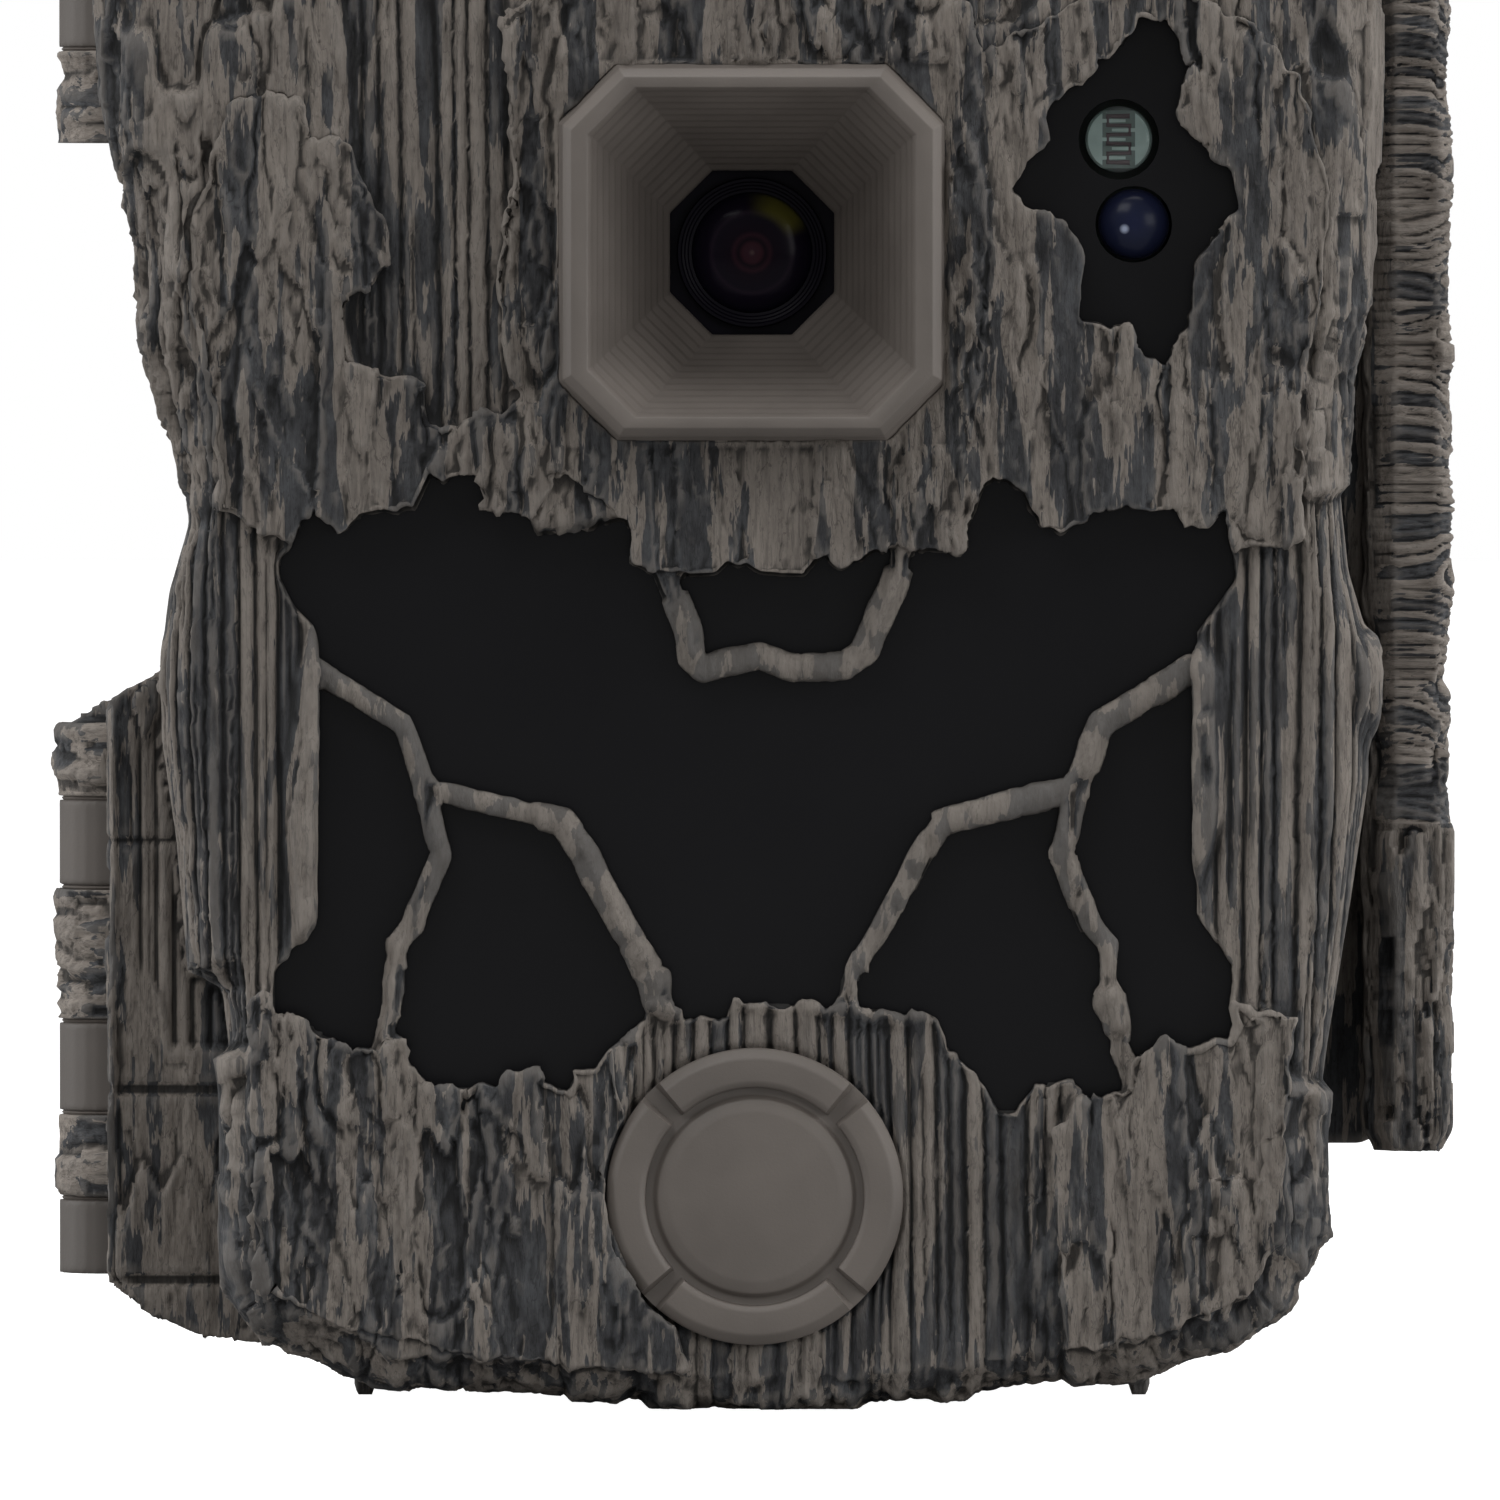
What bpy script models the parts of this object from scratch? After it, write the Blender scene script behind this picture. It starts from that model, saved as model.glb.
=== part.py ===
"""Trail camera in a bark-relief case: a front cover that swings on two hinges, a rear housing with its
battery tray and tree bracket, a side latch, and the works of the camera inside.

Frame: +Z up, the lens looks along -Y, +X is the viewer's right. The origin is at the middle of the
object's base. Every size below is in millimetres; the helpers turn them into Blender's metres.
"""

import math

import bmesh
import bpy
from mathutils import Vector

MM = 0.001

# ---------------------------------------------------------------- driving dimensions (millimetres)
HEIGHT = 144.0
MID_Z = HEIGHT / 2
FACE_Y = -28.0          # the corrugated front face of the cover
PLATE_Y = -29.5         # the raised bark plates stand proud of it
INNER_FACE_Y = -25.5    # the inside of the front wall
HOOD_FRONT_Y = -35.0
REAR_Y = 35.0           # the tips of the tree bracket
COVER_RIM_Y = -0.4      # the cover closes on the rear housing, whose rim is at y = 0
BACK_WALL_Y = 24.0
WALL = 2.4
GAP = 0.3               # between neighbouring solids

HINGE_X = -48.0
HINGE_Y = 0.0
KNUCKLE_R = 4.25        # on the cover, with bark relief
BARREL_R = 4.0          # on the plain leaf
PIN_R = 1.5
PIN_BORE_R = 1.62

LATCH_X = 49.25
LATCH_Y = 14.0
LATCH_R = 3.0
LATCH_PIN_R = 1.25
LATCH_BORE_R = 1.38
LATCH_SPAN = (18.6, 125.7)
EAR_SPANS = ((30.0, 36.0), (108.0, 114.0))

LENS_Z = 85.8
HOOD_WIDTH, HOOD_HEIGHT, HOOD_CHAMFER = 28.0, 27.2, 4.2
HOOD_MOUTH, HOOD_THROAT = 24.2, 12.2
HOOD_STEPS = 7
THROAT_Y = -20.0

PIR_Z = 119.0
PIR_WIDTH, PIR_HEIGHT, PIR_CHAMFER = 27.0, 20.0, 4.0

PHOTOCELL = (27.2, 94.2)
STATUS_LED = (28.3, 87.9)
BADGE = (0.2, 15.9)
BADGE_R = 11.0

PANEL_Y = (-3.4, -1.6)
BOARD_Y = (-9.7, -8.2)
CELL_R = 7.1
CELL_LENGTH = 50.0
CELL_PITCH = 15.0
FOOT_X = 29.2

# Hinge knuckles from the bottom up, as (low z, high z): plain barrels of the leaf and camouflaged
# knuckles of the cover take turns, and each hinge starts or ends at the outer end with a plain one.
LOWER_PLAIN = ((9.1, 14.9), (21.3, 28.2), (38.2, 44.9))
LOWER_CAMO = ((14.9, 21.3), (28.2, 38.2), (44.9, 50.7))
UPPER_PLAIN = ((101.1, 107.8), (117.8, 124.7), (131.0, 136.9))
UPPER_CAMO = ((93.9, 101.1), (107.8, 117.8), (124.7, 131.0))

# ---------------------------------------------------------------- outlines in the front view (x, z)
BODY = (
    (3.6, 0.0), (8.0, 0.3), (15.4, 0.9), (21.3, 1.9), (28.4, 2.3), (32.4, 4.1), (35.4, 4.9),
    (38.6, 7.2), (41.2, 10.2), (41.9, 13.0), (41.9, 20.8), (43.0, 28.2), (44.3, 36.4), (45.8, 46.7),
    (45.8, 57.1), (44.3, 62.3), (43.6, 69.5), (43.9, 76.4), (45.2, 82.3), (45.9, 97.1), (46.0, 108.0),
    (45.6, 118.0), (44.6, 127.5), (41.0, 135.0), (34.0, 139.4), (20.0, 142.6), (6.0, 144.0),
    (-8.0, 143.7), (-22.0, 142.2), (-34.0, 139.2), (-42.0, 134.6), (-46.6, 127.0), (-48.0, 117.0),
    (-47.9, 104.5), (-47.3, 95.6), (-44.8, 86.0), (-44.8, 80.7), (-43.0, 73.8), (-41.9, 70.1),
    (-41.9, 65.6), (-43.3, 60.8), (-43.9, 56.4), (-43.9, 49.7), (-42.8, 42.0), (-42.0, 32.5),
    (-39.3, 31.0), (-38.6, 24.0), (-38.5, 9.5), (-36.0, 5.0), (-32.7, 4.0), (-27.9, 1.9),
    (-11.3, 1.0), (-5.0, 0.0),
)
FLANGE = (
    (-34.0, 54.7), (-43.9, 54.7), (-47.9, 52.3), (-47.9, 9.0), (-46.4, 7.9), (-43.9, 6.4),
    (-40.9, 5.0), (-34.0, 4.2),
)
LOWER_EAR = ((-42.0, 55.4), (-44.0, 54.6), (-50.0, 51.2), (-51.4, 50.4), (-51.4, 46.0), (-42.0, 46.0))
UPPER_EAR = ((-42.0, 92.4), (-46.0, 92.9), (-50.0, 95.0), (-51.4, 96.0), (-51.4, 100.4), (-42.0, 100.4))
WINDOW = (
    (-35.0, 61.9), (-34.9, 63.0), (-34.0, 64.1), (-33.6, 66.1), (-32.1, 66.7), (-30.7, 64.7),
    (-28.5, 66.4), (-25.0, 67.2), (-24.3, 69.2), (-20.1, 69.3), (-19.6, 66.9), (-17.2, 66.6),
    (-16.1, 65.4), (-13.1, 65.4), (-11.3, 65.9), (-9.0, 66.0), (-8.7, 62.9), (-7.6, 62.2),
    (-2.5, 62.1), (-1.6, 62.9), (-0.3, 62.8), (0.8, 62.2), (4.0, 62.1), (4.5, 63.4), (5.6, 63.4),
    (6.5, 62.7), (7.9, 63.0), (9.6, 64.1), (12.8, 64.1), (15.3, 63.8), (16.5, 67.5), (17.0, 68.7),
    (18.6, 69.0), (20.8, 67.5), (21.6, 65.6), (24.5, 65.4), (25.0, 66.4), (28.0, 67.0), (31.1, 67.3),
    (32.1, 65.5), (33.9, 65.6), (35.0, 67.1), (35.9, 61.6), (33.0, 57.7), (33.0, 36.5), (35.5, 33.1),
    (35.5, 27.8), (33.0, 26.9), (31.1, 27.3), (28.5, 26.4), (27.9, 23.6), (24.6, 23.0), (23.4, 24.5),
    (21.0, 24.1), (19.9, 22.2), (18.4, 22.3), (16.3, 25.1), (14.4, 27.1), (13.7, 29.1), (11.8, 29.4),
    (8.0, 30.0), (2.6, 30.1), (-1.0, 30.2), (-2.4, 28.8), (-5.3, 29.0), (-6.1, 30.1), (-7.6, 30.1),
    (-8.5, 28.4), (-10.7, 26.7), (-11.6, 25.4), (-12.9, 25.3), (-13.7, 23.7), (-15.1, 24.1),
    (-15.9, 25.0), (-18.1, 25.2), (-18.8, 24.1), (-23.9, 24.1), (-25.5, 25.8), (-26.1, 27.3),
    (-27.7, 26.8), (-29.9, 26.7), (-32.1, 28.2), (-33.3, 29.0), (-35.2, 29.0), (-35.3, 32.5),
    (-32.6, 36.2), (-32.5, 58.1), (-34.0, 59.7),
)
SENSOR_WINDOW = (
    (28.5, 103.1), (30.9, 103.0), (31.4, 101.9), (31.6, 100.7), (32.5, 99.6), (31.6, 96.5),
    (31.9, 95.3), (33.5, 93.6), (35.9, 91.3), (36.0, 89.0), (33.5, 86.2), (33.0, 84.2), (32.3, 80.9),
    (30.7, 77.6), (29.1, 77.5), (27.9, 80.2), (26.4, 80.2), (24.1, 80.9), (24.4, 85.6), (23.3, 88.1),
    (20.5, 88.6), (19.2, 90.4), (20.7, 93.0), (21.6, 94.4), (21.7, 96.5), (24.3, 98.4), (25.5, 100.0),
    (27.6, 101.1), (28.1, 102.3),
)
# Raised plates of bark. Where a plate meets a window it runs past the edge, and the window trims it.
BROW_PLATE = (
    (-10.0, 66.5), (-9.6, 60.0), (16.0, 60.0), (17.5, 70.0), (17.2, 76.0), (18.5, 84.0), (17.4, 97.0),
    (16.0, 104.0), (8.0, 107.0), (-2.0, 105.5), (-14.0, 107.0), (-18.6, 103.0), (-17.6, 92.0),
    (-19.0, 84.0), (-18.0, 76.5), (-15.5, 71.0),
)
LEFT_PLATE = (
    (-38.4, 96.9), (-36.3, 97.3), (-33.5, 97.3), (-33.1, 94.1), (-30.1, 93.8), (-26.8, 87.5),
    (-26.7, 85.1), (-28.7, 83.0), (-30.5, 83.0), (-30.7, 77.6), (-27.2, 76.6), (-24.2, 76.4),
    (-24.2, 73.0), (-20.4, 73.6), (-17.0, 74.6), (-14.6, 70.0), (-17.0, 64.0), (-34.0, 64.0),
    (-39.4, 66.6), (-39.8, 74.0), (-41.6, 81.0), (-41.4, 88.0),
)
RIGHT_PLATE = (
    (14.6, 66.0), (16.4, 76.0), (16.0, 88.0), (15.6, 99.6), (24.4, 104.6), (31.0, 105.6), (36.4, 103.0),
    (40.6, 98.6), (42.8, 90.0), (41.6, 80.0), (40.4, 74.0), (40.8, 64.6), (30.0, 63.0), (18.6, 64.0),
)
LEFT_CHIN = (
    (-37.0, 30.8), (-33.0, 31.4), (-26.0, 30.0), (-10.4, 28.6), (-10.1, 23.8), (-8.3, 19.3),
    (-6.8, 15.6), (-6.4, 9.0), (-4.6, 2.6), (-11.5, 3.2), (-20.0, 4.2), (-31.0, 6.4), (-36.6, 9.4),
)
RIGHT_CHIN = (
    (22.4, 20.8), (23.9, 21.6), (25.0, 24.0), (27.0, 29.0), (36.0, 30.4), (40.2, 29.0), (39.4, 20.0),
    (39.2, 12.4), (37.0, 9.0), (30.0, 5.6), (23.0, 4.2), (22.8, 14.0),
)
# Ribs that cross the window, as the middle line of each: the left-hand ones, mirrored for the right.
SIDE_RIB = (
    (-34.0, 55.4), (-32.5, 55.0), (-29.0, 52.8), (-25.9, 50.9), (-25.3, 49.4), (-24.2, 46.1),
)
INNER_RIB = (
    (-24.9, 46.2), (-22.7, 45.8), (-18.7, 44.8), (-14.0, 43.6), (-12.3, 41.1), (-11.6, 39.5),
    (-9.3, 35.3), (-7.3, 32.1), (-6.6, 28.6),
)
OUTER_RIB = (
    (-24.3, 46.9), (-23.5, 42.5), (-23.0, 41.3), (-24.5, 37.7), (-25.2, 35.9), (-26.4, 34.4),
    (-26.4, 31.0), (-28.0, 24.4),
)
TOP_RIB = (
    (-6.9, 64.0), (-6.4, 62.3), (-4.7, 57.6), (-4.5, 55.8), (-3.6, 55.0), (-1.8, 55.5), (0.6, 55.9),
    (3.0, 55.0), (6.8, 55.2), (8.3, 56.1), (9.7, 59.5), (10.6, 61.3), (11.4, 65.6),
)
RIB_WIDTH = 1.35


# ---------------------------------------------------------------- scene and materials
def clear_scene():
    for obj in list(bpy.data.objects):
        bpy.data.objects.remove(obj)


def make_collection(name):
    collection = bpy.data.collections.new(name)
    bpy.context.scene.collection.children.link(collection)
    return collection


def make_material(name, colour, roughness, metallic=0.0):
    material = bpy.data.materials.new(name)
    material.use_nodes = True
    shader = material.node_tree.nodes["Principled BSDF"]
    shader.inputs["Base Color"].default_value = (*colour, 1.0)
    shader.inputs["Roughness"].default_value = roughness
    shader.inputs["Metallic"].default_value = metallic
    return material


clear_scene()
PARTS = make_collection("trail_camera")
HELPERS = make_collection("cutters")
MATERIAL = {
    "bark": make_material("bark", (0.12, 0.105, 0.095), 0.75),
    "taupe": make_material("taupe", (0.15, 0.128, 0.112), 0.6),
    "black_gloss": make_material("black_gloss", (0.009, 0.009, 0.011), 0.22),
    "black_matte": make_material("black_matte", (0.012, 0.012, 0.013), 0.6),
    "glass": make_material("glass", (0.02, 0.02, 0.03), 0.05),
    "blue_led": make_material("blue_led", (0.012, 0.02, 0.09), 0.15),
    "fresnel": make_material("fresnel", (0.62, 0.62, 0.6), 0.4),
    "board": make_material("board", (0.02, 0.11, 0.05), 0.5),
    "steel": make_material("steel", (0.55, 0.55, 0.57), 0.3, 1.0),
    "brass": make_material("brass", (0.65, 0.47, 0.2), 0.35, 1.0),
    "rubber": make_material("rubber", (0.02, 0.02, 0.02), 0.85),
    "screen": make_material("screen", (0.03, 0.04, 0.05), 0.12),
    "cell": make_material("cell", (0.05, 0.06, 0.075), 0.35),
    "card": make_material("card", (0.03, 0.05, 0.1), 0.5),
}


# ---------------------------------------------------------------- modelling helpers
def put(name, mesh, slot=None):
    """A new object for mesh: a part with its material, or a helper where slot is None."""
    obj = bpy.data.objects.new(name, mesh)
    if slot is None:
        HELPERS.objects.link(obj)
        obj.hide_render = True
        obj.display_type = "WIRE"
    else:
        PARTS.objects.link(obj)
        mesh.materials.append(MATERIAL[slot])
        mesh.shade_smooth()
        mesh.set_sharp_from_angle(angle=math.radians(32))
    return obj


def from_bmesh(name, bm, slot=None):
    bmesh.ops.recalc_face_normals(bm, faces=bm.faces)
    mesh = bpy.data.meshes.new(name)
    bm.to_mesh(mesh)
    bm.free()
    return put(name, mesh, slot)


def box(name, low, high, slot=None, bevel=0.0):
    bm = bmesh.new()
    bmesh.ops.create_cube(bm, size=1.0)
    size = [(b - a) * MM for a, b in zip(low, high)]
    bmesh.ops.scale(bm, vec=size, verts=bm.verts)
    if bevel:
        bmesh.ops.bevel(
            bm, geom=list(bm.edges), offset=bevel * MM, segments=1, profile=0.5, affect="EDGES"
        )
    obj = from_bmesh(name, bm, slot)
    obj.location = [(a + b) / 2 * MM for a, b in zip(low, high)]
    return obj


AXIS_TURN = {"X": (0, math.radians(90), 0), "Y": (math.radians(90), 0, 0), "Z": (0, 0, 0)}


def cylinder(name, centre, axis, radius, length, slot=None, sides=24):
    """A cylinder whose middle is at centre and which lies along axis X, Y or Z."""
    bm = bmesh.new()
    bmesh.ops.create_cone(
        bm, cap_ends=True, segments=sides, radius1=radius * MM, radius2=radius * MM, depth=length * MM
    )
    obj = from_bmesh(name, bm, slot)
    obj.location = [c * MM for c in centre]
    obj.rotation_euler = AXIS_TURN[axis]
    return obj


def turned(name, profile, origin, slot=None, facing="front", sides=24):
    """A turned piece: profile is (radius, height) from the top of its axis down its outer side. Its
    height runs forward (-Y), backward (+Y), up (+Z) or down (-Z) from origin."""
    mesh = bpy.data.meshes.new(name)
    points = [(r * MM, 0.0, h * MM) for r, h in profile]
    mesh.from_pydata(points, [(i, i + 1) for i in range(len(points) - 1)], [])
    obj = put(name, mesh, slot)
    screw = obj.modifiers.new("Screw", "SCREW")
    screw.steps = screw.render_steps = sides
    screw.use_merge_vertices = True
    screw.merge_threshold = 0.00001
    obj.location = [c * MM for c in origin]
    quarter = math.radians(90)
    turn = {"front": quarter, "back": -quarter, "up": 0.0, "down": 2 * quarter}[facing]
    obj.rotation_euler = (turn, 0, 0)
    return obj


def prism(name, outline, low, high, slot=None, plane="XZ"):
    """A flat outline, in the XZ, XY or YZ plane, given its thickness from low to high along the
    third axis."""
    data = bpy.data.curves.new(name, "CURVE")
    data.dimensions = "2D"
    data.fill_mode = "BOTH"
    data.extrude = (high - low) / 2 * MM
    spline = data.splines.new("POLY")
    spline.points.add(len(outline) - 1)
    for point, (u, v) in zip(spline.points, outline):
        point.co = (u * MM, v * MM, 0, 1)
    spline.use_cyclic_u = True
    flat = bpy.data.objects.new(name + "_outline", data)
    HELPERS.objects.link(flat)
    middle = (low + high) / 2 * MM
    quarter = math.radians(90)
    if plane == "XZ":
        flat.location, flat.rotation_euler = (0, middle, 0), (quarter, 0, 0)
    elif plane == "XY":
        flat.location = (0, 0, middle)
    else:
        flat.location, flat.rotation_euler = (middle, 0, 0), (quarter, 0, quarter)
    bpy.context.view_layer.update()
    mesh = bpy.data.meshes.new_from_object(flat.evaluated_get(bpy.context.evaluated_depsgraph_get()))
    mesh.name = name
    matrix = flat.matrix_world.copy()
    bpy.data.objects.remove(flat)
    bm = bmesh.new()
    bm.from_mesh(mesh)
    bmesh.ops.remove_doubles(bm, verts=bm.verts, dist=0.000001)
    bmesh.ops.recalc_face_normals(bm, faces=bm.faces)
    bm.to_mesh(mesh)
    bm.free()
    mesh.materials.clear()
    obj = put(name, mesh, slot)
    obj.matrix_world = matrix
    return obj


def modify(obj, operation, others):
    for other in others:
        boolean = obj.modifiers.new(other.name, "BOOLEAN")
        boolean.operation = operation
        boolean.object = other
    return obj


def cut(obj, *cutters):
    return modify(obj, "DIFFERENCE", cutters)


def join(obj, *others):
    return modify(obj, "UNION", others)


def rounded_rectangle(low, high, radius, steps=4):
    """Corner points of a rectangle with rounded corners, as one closed outline."""
    points = []
    corners = (
        (high[0] - radius, high[1] - radius, 0), (low[0] + radius, high[1] - radius, 90),
        (low[0] + radius, low[1] + radius, 180), (high[0] - radius, low[1] + radius, 270),
    )
    for cx, cz, start in corners:
        for i in range(steps + 1):
            angle = math.radians(start + 90 * i / steps)
            points.append((cx + radius * math.cos(angle), cz + radius * math.sin(angle)))
    return points


def octagon(width, height, chamfer, centre=(0.0, 0.0)):
    w, h, c = width / 2, height / 2, chamfer
    corners = (
        (w, h - c), (w - c, h), (-w + c, h), (-w, h - c), (-w, -h + c), (-w + c, -h), (w - c, -h),
        (w, -h + c),
    )
    return [(centre[0] + x, centre[1] + z) for x, z in corners]


def strap(line, width):
    """The outline of a band of this width along a middle line."""
    points = [Vector(p) for p in line]
    left, right = [], []
    for i, p in enumerate(points):
        along = points[min(i + 1, len(points) - 1)] - points[max(i - 1, 0)]
        side = Vector((-along.y, along.x)).normalized() * width / 2
        left.append(tuple(p + side))
        right.append(tuple(p - side))
    return left + right[::-1]


def mirrored(outline):
    return [(-x, z) for x, z in outline]


def stepped_loft(name, sections, slot=None):
    """A solid through a row of (outline, y), all with the same number of points. The first and last
    are its end faces."""
    bm = bmesh.new()
    outline, y = sections[0]
    face = bm.faces.new([bm.verts.new((x * MM, y * MM, z * MM)) for x, z in outline])
    for outline, y in sections[1:]:
        made = bmesh.ops.extrude_discrete_faces(bm, faces=[face])["faces"]
        face = made[0]
        for vert, (x, z) in zip(face.verts, outline):
            vert.co = (x * MM, y * MM, z * MM)
    first, _ = sections[0]
    start = [v for v in bm.verts if len(v.link_faces) == 2]
    bmesh.ops.contextual_create(bm, geom=start[: len(first)])
    return from_bmesh(name, bm, slot)


def holder(name, centre):
    """An empty on a joint's axis, which carries the pieces that move with it."""
    empty = bpy.data.objects.new(name, None)
    empty.location = [c * MM for c in centre]
    PARTS.objects.link(empty)
    return empty


def carry(empty, *pieces):
    bpy.context.view_layer.update()
    for piece in pieces:
        world = piece.matrix_world.copy()
        piece.parent = empty
        piece.matrix_parent_inverse = empty.matrix_world.inverted()
        piece.matrix_world = world


# ---------------------------------------------------------------- front cover
def inset(outline, amount):
    """The outline drawn in towards its middle by about this much on every side."""
    wide = 1 - amount / 46.0
    tall = 1 - amount / MID_Z
    return [(x * wide, MID_Z + (z - MID_Z) * tall) for x, z in outline]


def cover_base():
    """The outer form of the cover, with a rounded front edge, and its lower left hinge flange."""
    sections = [
        (BODY, COVER_RIM_Y), (BODY, FACE_Y + 3.6), (inset(BODY, 0.8), FACE_Y + 1.2),
        (inset(BODY, 2.4), FACE_Y),
    ]
    cover = stepped_loft("front_cover", sections, "bark")
    flange = prism("flange_form", FLANGE, -14.0, COVER_RIM_Y - 0.05)
    return join(cover, flange)


def add_plates(cover):
    plates = {
        "brow_form": BROW_PLATE, "left_plate_form": LEFT_PLATE, "right_plate_form": RIGHT_PLATE,
        "left_chin_form": LEFT_CHIN, "right_chin_form": RIGHT_CHIN,
    }
    for name, outline in plates.items():
        join(cover, prism(name, outline, PLATE_Y, FACE_Y + 0.9))


def add_knuckles(cover):
    for i, (low, high) in enumerate(LOWER_CAMO + UPPER_CAMO):
        middle = (HINGE_X, HINGE_Y, (low + high) / 2)
        join(cover, cylinder(f"knuckle_form_{i}", middle, "Z", KNUCKLE_R, high - low - GAP))
    join(cover, prism("lower_ear_form", LOWER_EAR, -2.6, -0.6))
    join(cover, prism("upper_ear_form", UPPER_EAR, -2.6, -0.6))


def hollow_cover(cover):
    rear = rounded_rectangle((-39.2, 9.4), (39.2, 134.4), 7.0)
    front = rounded_rectangle((-36.2, 9.6), (38.9, 134.2), 6.0)
    cut(cover, prism("cavity_rear", rear, -11.5, 2.0), prism("cavity_front", front, INNER_FACE_Y, -11.0))


def open_cover(cover):
    reach = (HOOD_FRONT_Y, INNER_FACE_Y + 2.0)
    hood_hole = octagon(HOOD_WIDTH + 2 * GAP, HOOD_HEIGHT + 2 * GAP, HOOD_CHAMFER, (0, LENS_Z))
    pir_hole = octagon(PIR_WIDTH + 2 * GAP, PIR_HEIGHT + 2 * GAP, PIR_CHAMFER, (0, PIR_Z))
    cut(
        cover,
        prism("window_hole", WINDOW, *reach),
        prism("sensor_hole", SENSOR_WINDOW, *reach),
        prism("hood_hole", hood_hole, *reach),
        prism("pir_hole", pir_hole, *reach),
    )


def clear_hinges(cover):
    """Room for the plain barrels of the leaves, and the bores for the pins."""
    for i, (low, high) in enumerate(LOWER_PLAIN + UPPER_PLAIN):
        middle = (HINGE_X, HINGE_Y, (low + high) / 2)
        cut(cover, cylinder(f"barrel_room_{i}", middle, "Z", BARREL_R + 0.6, high - low + GAP))
    for name, spans in (("lower", LOWER_CAMO), ("upper", UPPER_CAMO)):
        middle = (HINGE_X, HINGE_Y, (spans[0][0] + spans[-1][1]) / 2)
        cut(cover, cylinder(f"{name}_pin_bore", middle, "Z", PIN_BORE_R, 60.0, sides=16))


def seat_badge(cover):
    seat = cylinder("badge_seat", (BADGE[0], -34.0, BADGE[1]), "Y", BADGE_R + GAP, 12.6, sides=40)
    cut(cover, seat)


def add_ribs(cover):
    lines = {"side": SIDE_RIB, "inner": INNER_RIB, "outer": OUTER_RIB}
    depth = (FACE_Y + 0.3, INNER_FACE_Y + 0.05)
    for name, line in lines.items():
        band = strap(line, RIB_WIDTH)
        join(cover, prism(f"{name}_rib_left", band, *depth))
        join(cover, prism(f"{name}_rib_right", mirrored(band), *depth))
    join(cover, prism("top_rib", strap(TOP_RIB, RIB_WIDTH), *depth))


BOSSES = [(x, z) for x in (-33.0, 34.0) for z in (14.5, 129.0)]


def add_bosses(cover):
    """Posts inside the cover that the control panel is screwed to."""
    for i, (x, z) in enumerate(BOSSES):
        join(cover, cylinder(f"boss_form_{i}", (x, -15.0, z), "Y", 2.9, 22.4, sides=12))
    for i, (x, z) in enumerate(BOSSES):
        cut(cover, cylinder(f"boss_bore_{i}", (x, -6.0, z), "Y", 1.35, 8.0, sides=12))


def add_keeper(cover):
    join(cover, box("keeper_form", (39.6, -4.2, 45.0), (46.0, -1.4, 100.0)))


def front_cover():
    cover = cover_base()
    add_plates(cover)
    hollow_cover(cover)
    add_knuckles(cover)
    open_cover(cover)
    seat_badge(cover)
    clear_hinges(cover)
    add_ribs(cover)
    add_bosses(cover)
    add_keeper(cover)
    return cover


# ---------------------------------------------------------------- lens
def lens_parts():
    middle = (0.0, LENS_Z)
    outer = octagon(HOOD_WIDTH, HOOD_HEIGHT, HOOD_CHAMFER, middle)
    rim = octagon(HOOD_WIDTH - 1.4, HOOD_HEIGHT - 1.4, HOOD_CHAMFER - 0.4, middle)
    hood = stepped_loft(
        "lens_hood", [(outer, -23.4), (outer, HOOD_FRONT_Y + 0.7), (rim, HOOD_FRONT_Y)], "taupe"
    )
    lip = octagon(HOOD_WIDTH + 4.0, HOOD_HEIGHT + 4.0, HOOD_CHAMFER + 1.2, middle)
    join(hood, prism("hood_lip_form", lip, INNER_FACE_Y + GAP, THROAT_Y + 0.4))
    sections = []
    first_y = HOOD_FRONT_Y + 1.2
    tread = (THROAT_Y - first_y) / HOOD_STEPS
    riser = (HOOD_MOUTH - HOOD_THROAT) / HOOD_STEPS
    for i in range(HOOD_STEPS + 1):
        width = HOOD_MOUTH - riser * i
        ring = octagon(width, width, 0.16 * width + 1.2 * i / HOOD_STEPS, middle)
        y = first_y + tread * i
        sections.append((ring, y - (3.0 if i == 0 else 0.0)))
        sections.append((ring, y + (3.0 if i == HOOD_STEPS else tread * 0.7)))
    cut(hood, stepped_loft("hood_funnel", sections))

    face = octagon(16.0, 16.0, HOOD_CHAMFER, middle)
    plate = prism("lens_plate", face, THROAT_Y + 0.7, THROAT_Y + 2.0, "black_matte")
    cut(plate, cylinder("lens_plate_hole", (0, THROAT_Y, LENS_Z), "Y", 5.5, 8.0))
    barrel = turned(
        "lens_barrel",
        [
            (3.4, 0.2), (4.6, 0.2), (5.2, 0.0), (5.2, -7.2), (0.0, -7.2), (0.0, -3.0), (4.3, -3.0),
            (4.3, -1.2), (3.4, 0.2),
        ],
        (0, THROAT_Y - 0.1, LENS_Z), "black_matte",
    )
    lens = turned(
        "front_lens",
        [(0.0, 1.0), (1.4, 0.9), (2.7, 0.5), (3.9, -0.3), (3.9, -1.4), (0.0, -1.4)],
        (0, THROAT_Y + 1.2, LENS_Z), "glass",
    )
    mount = box("lens_holder", (-7.5, -17.3, LENS_Z - 7.5), (7.5, -12.0, LENS_Z + 7.5), "black_matte", 0.5)
    cut(mount, cylinder("lens_holder_bore", (0, -14.0, LENS_Z), "Y", 5.5, 12.0))
    board = box("sensor_board", (-14.0, -11.6, LENS_Z - 13.0), (14.0, -10.4, LENS_Z + 13.0), "board")
    return [hood, plate, barrel, lens, mount, board]


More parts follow.
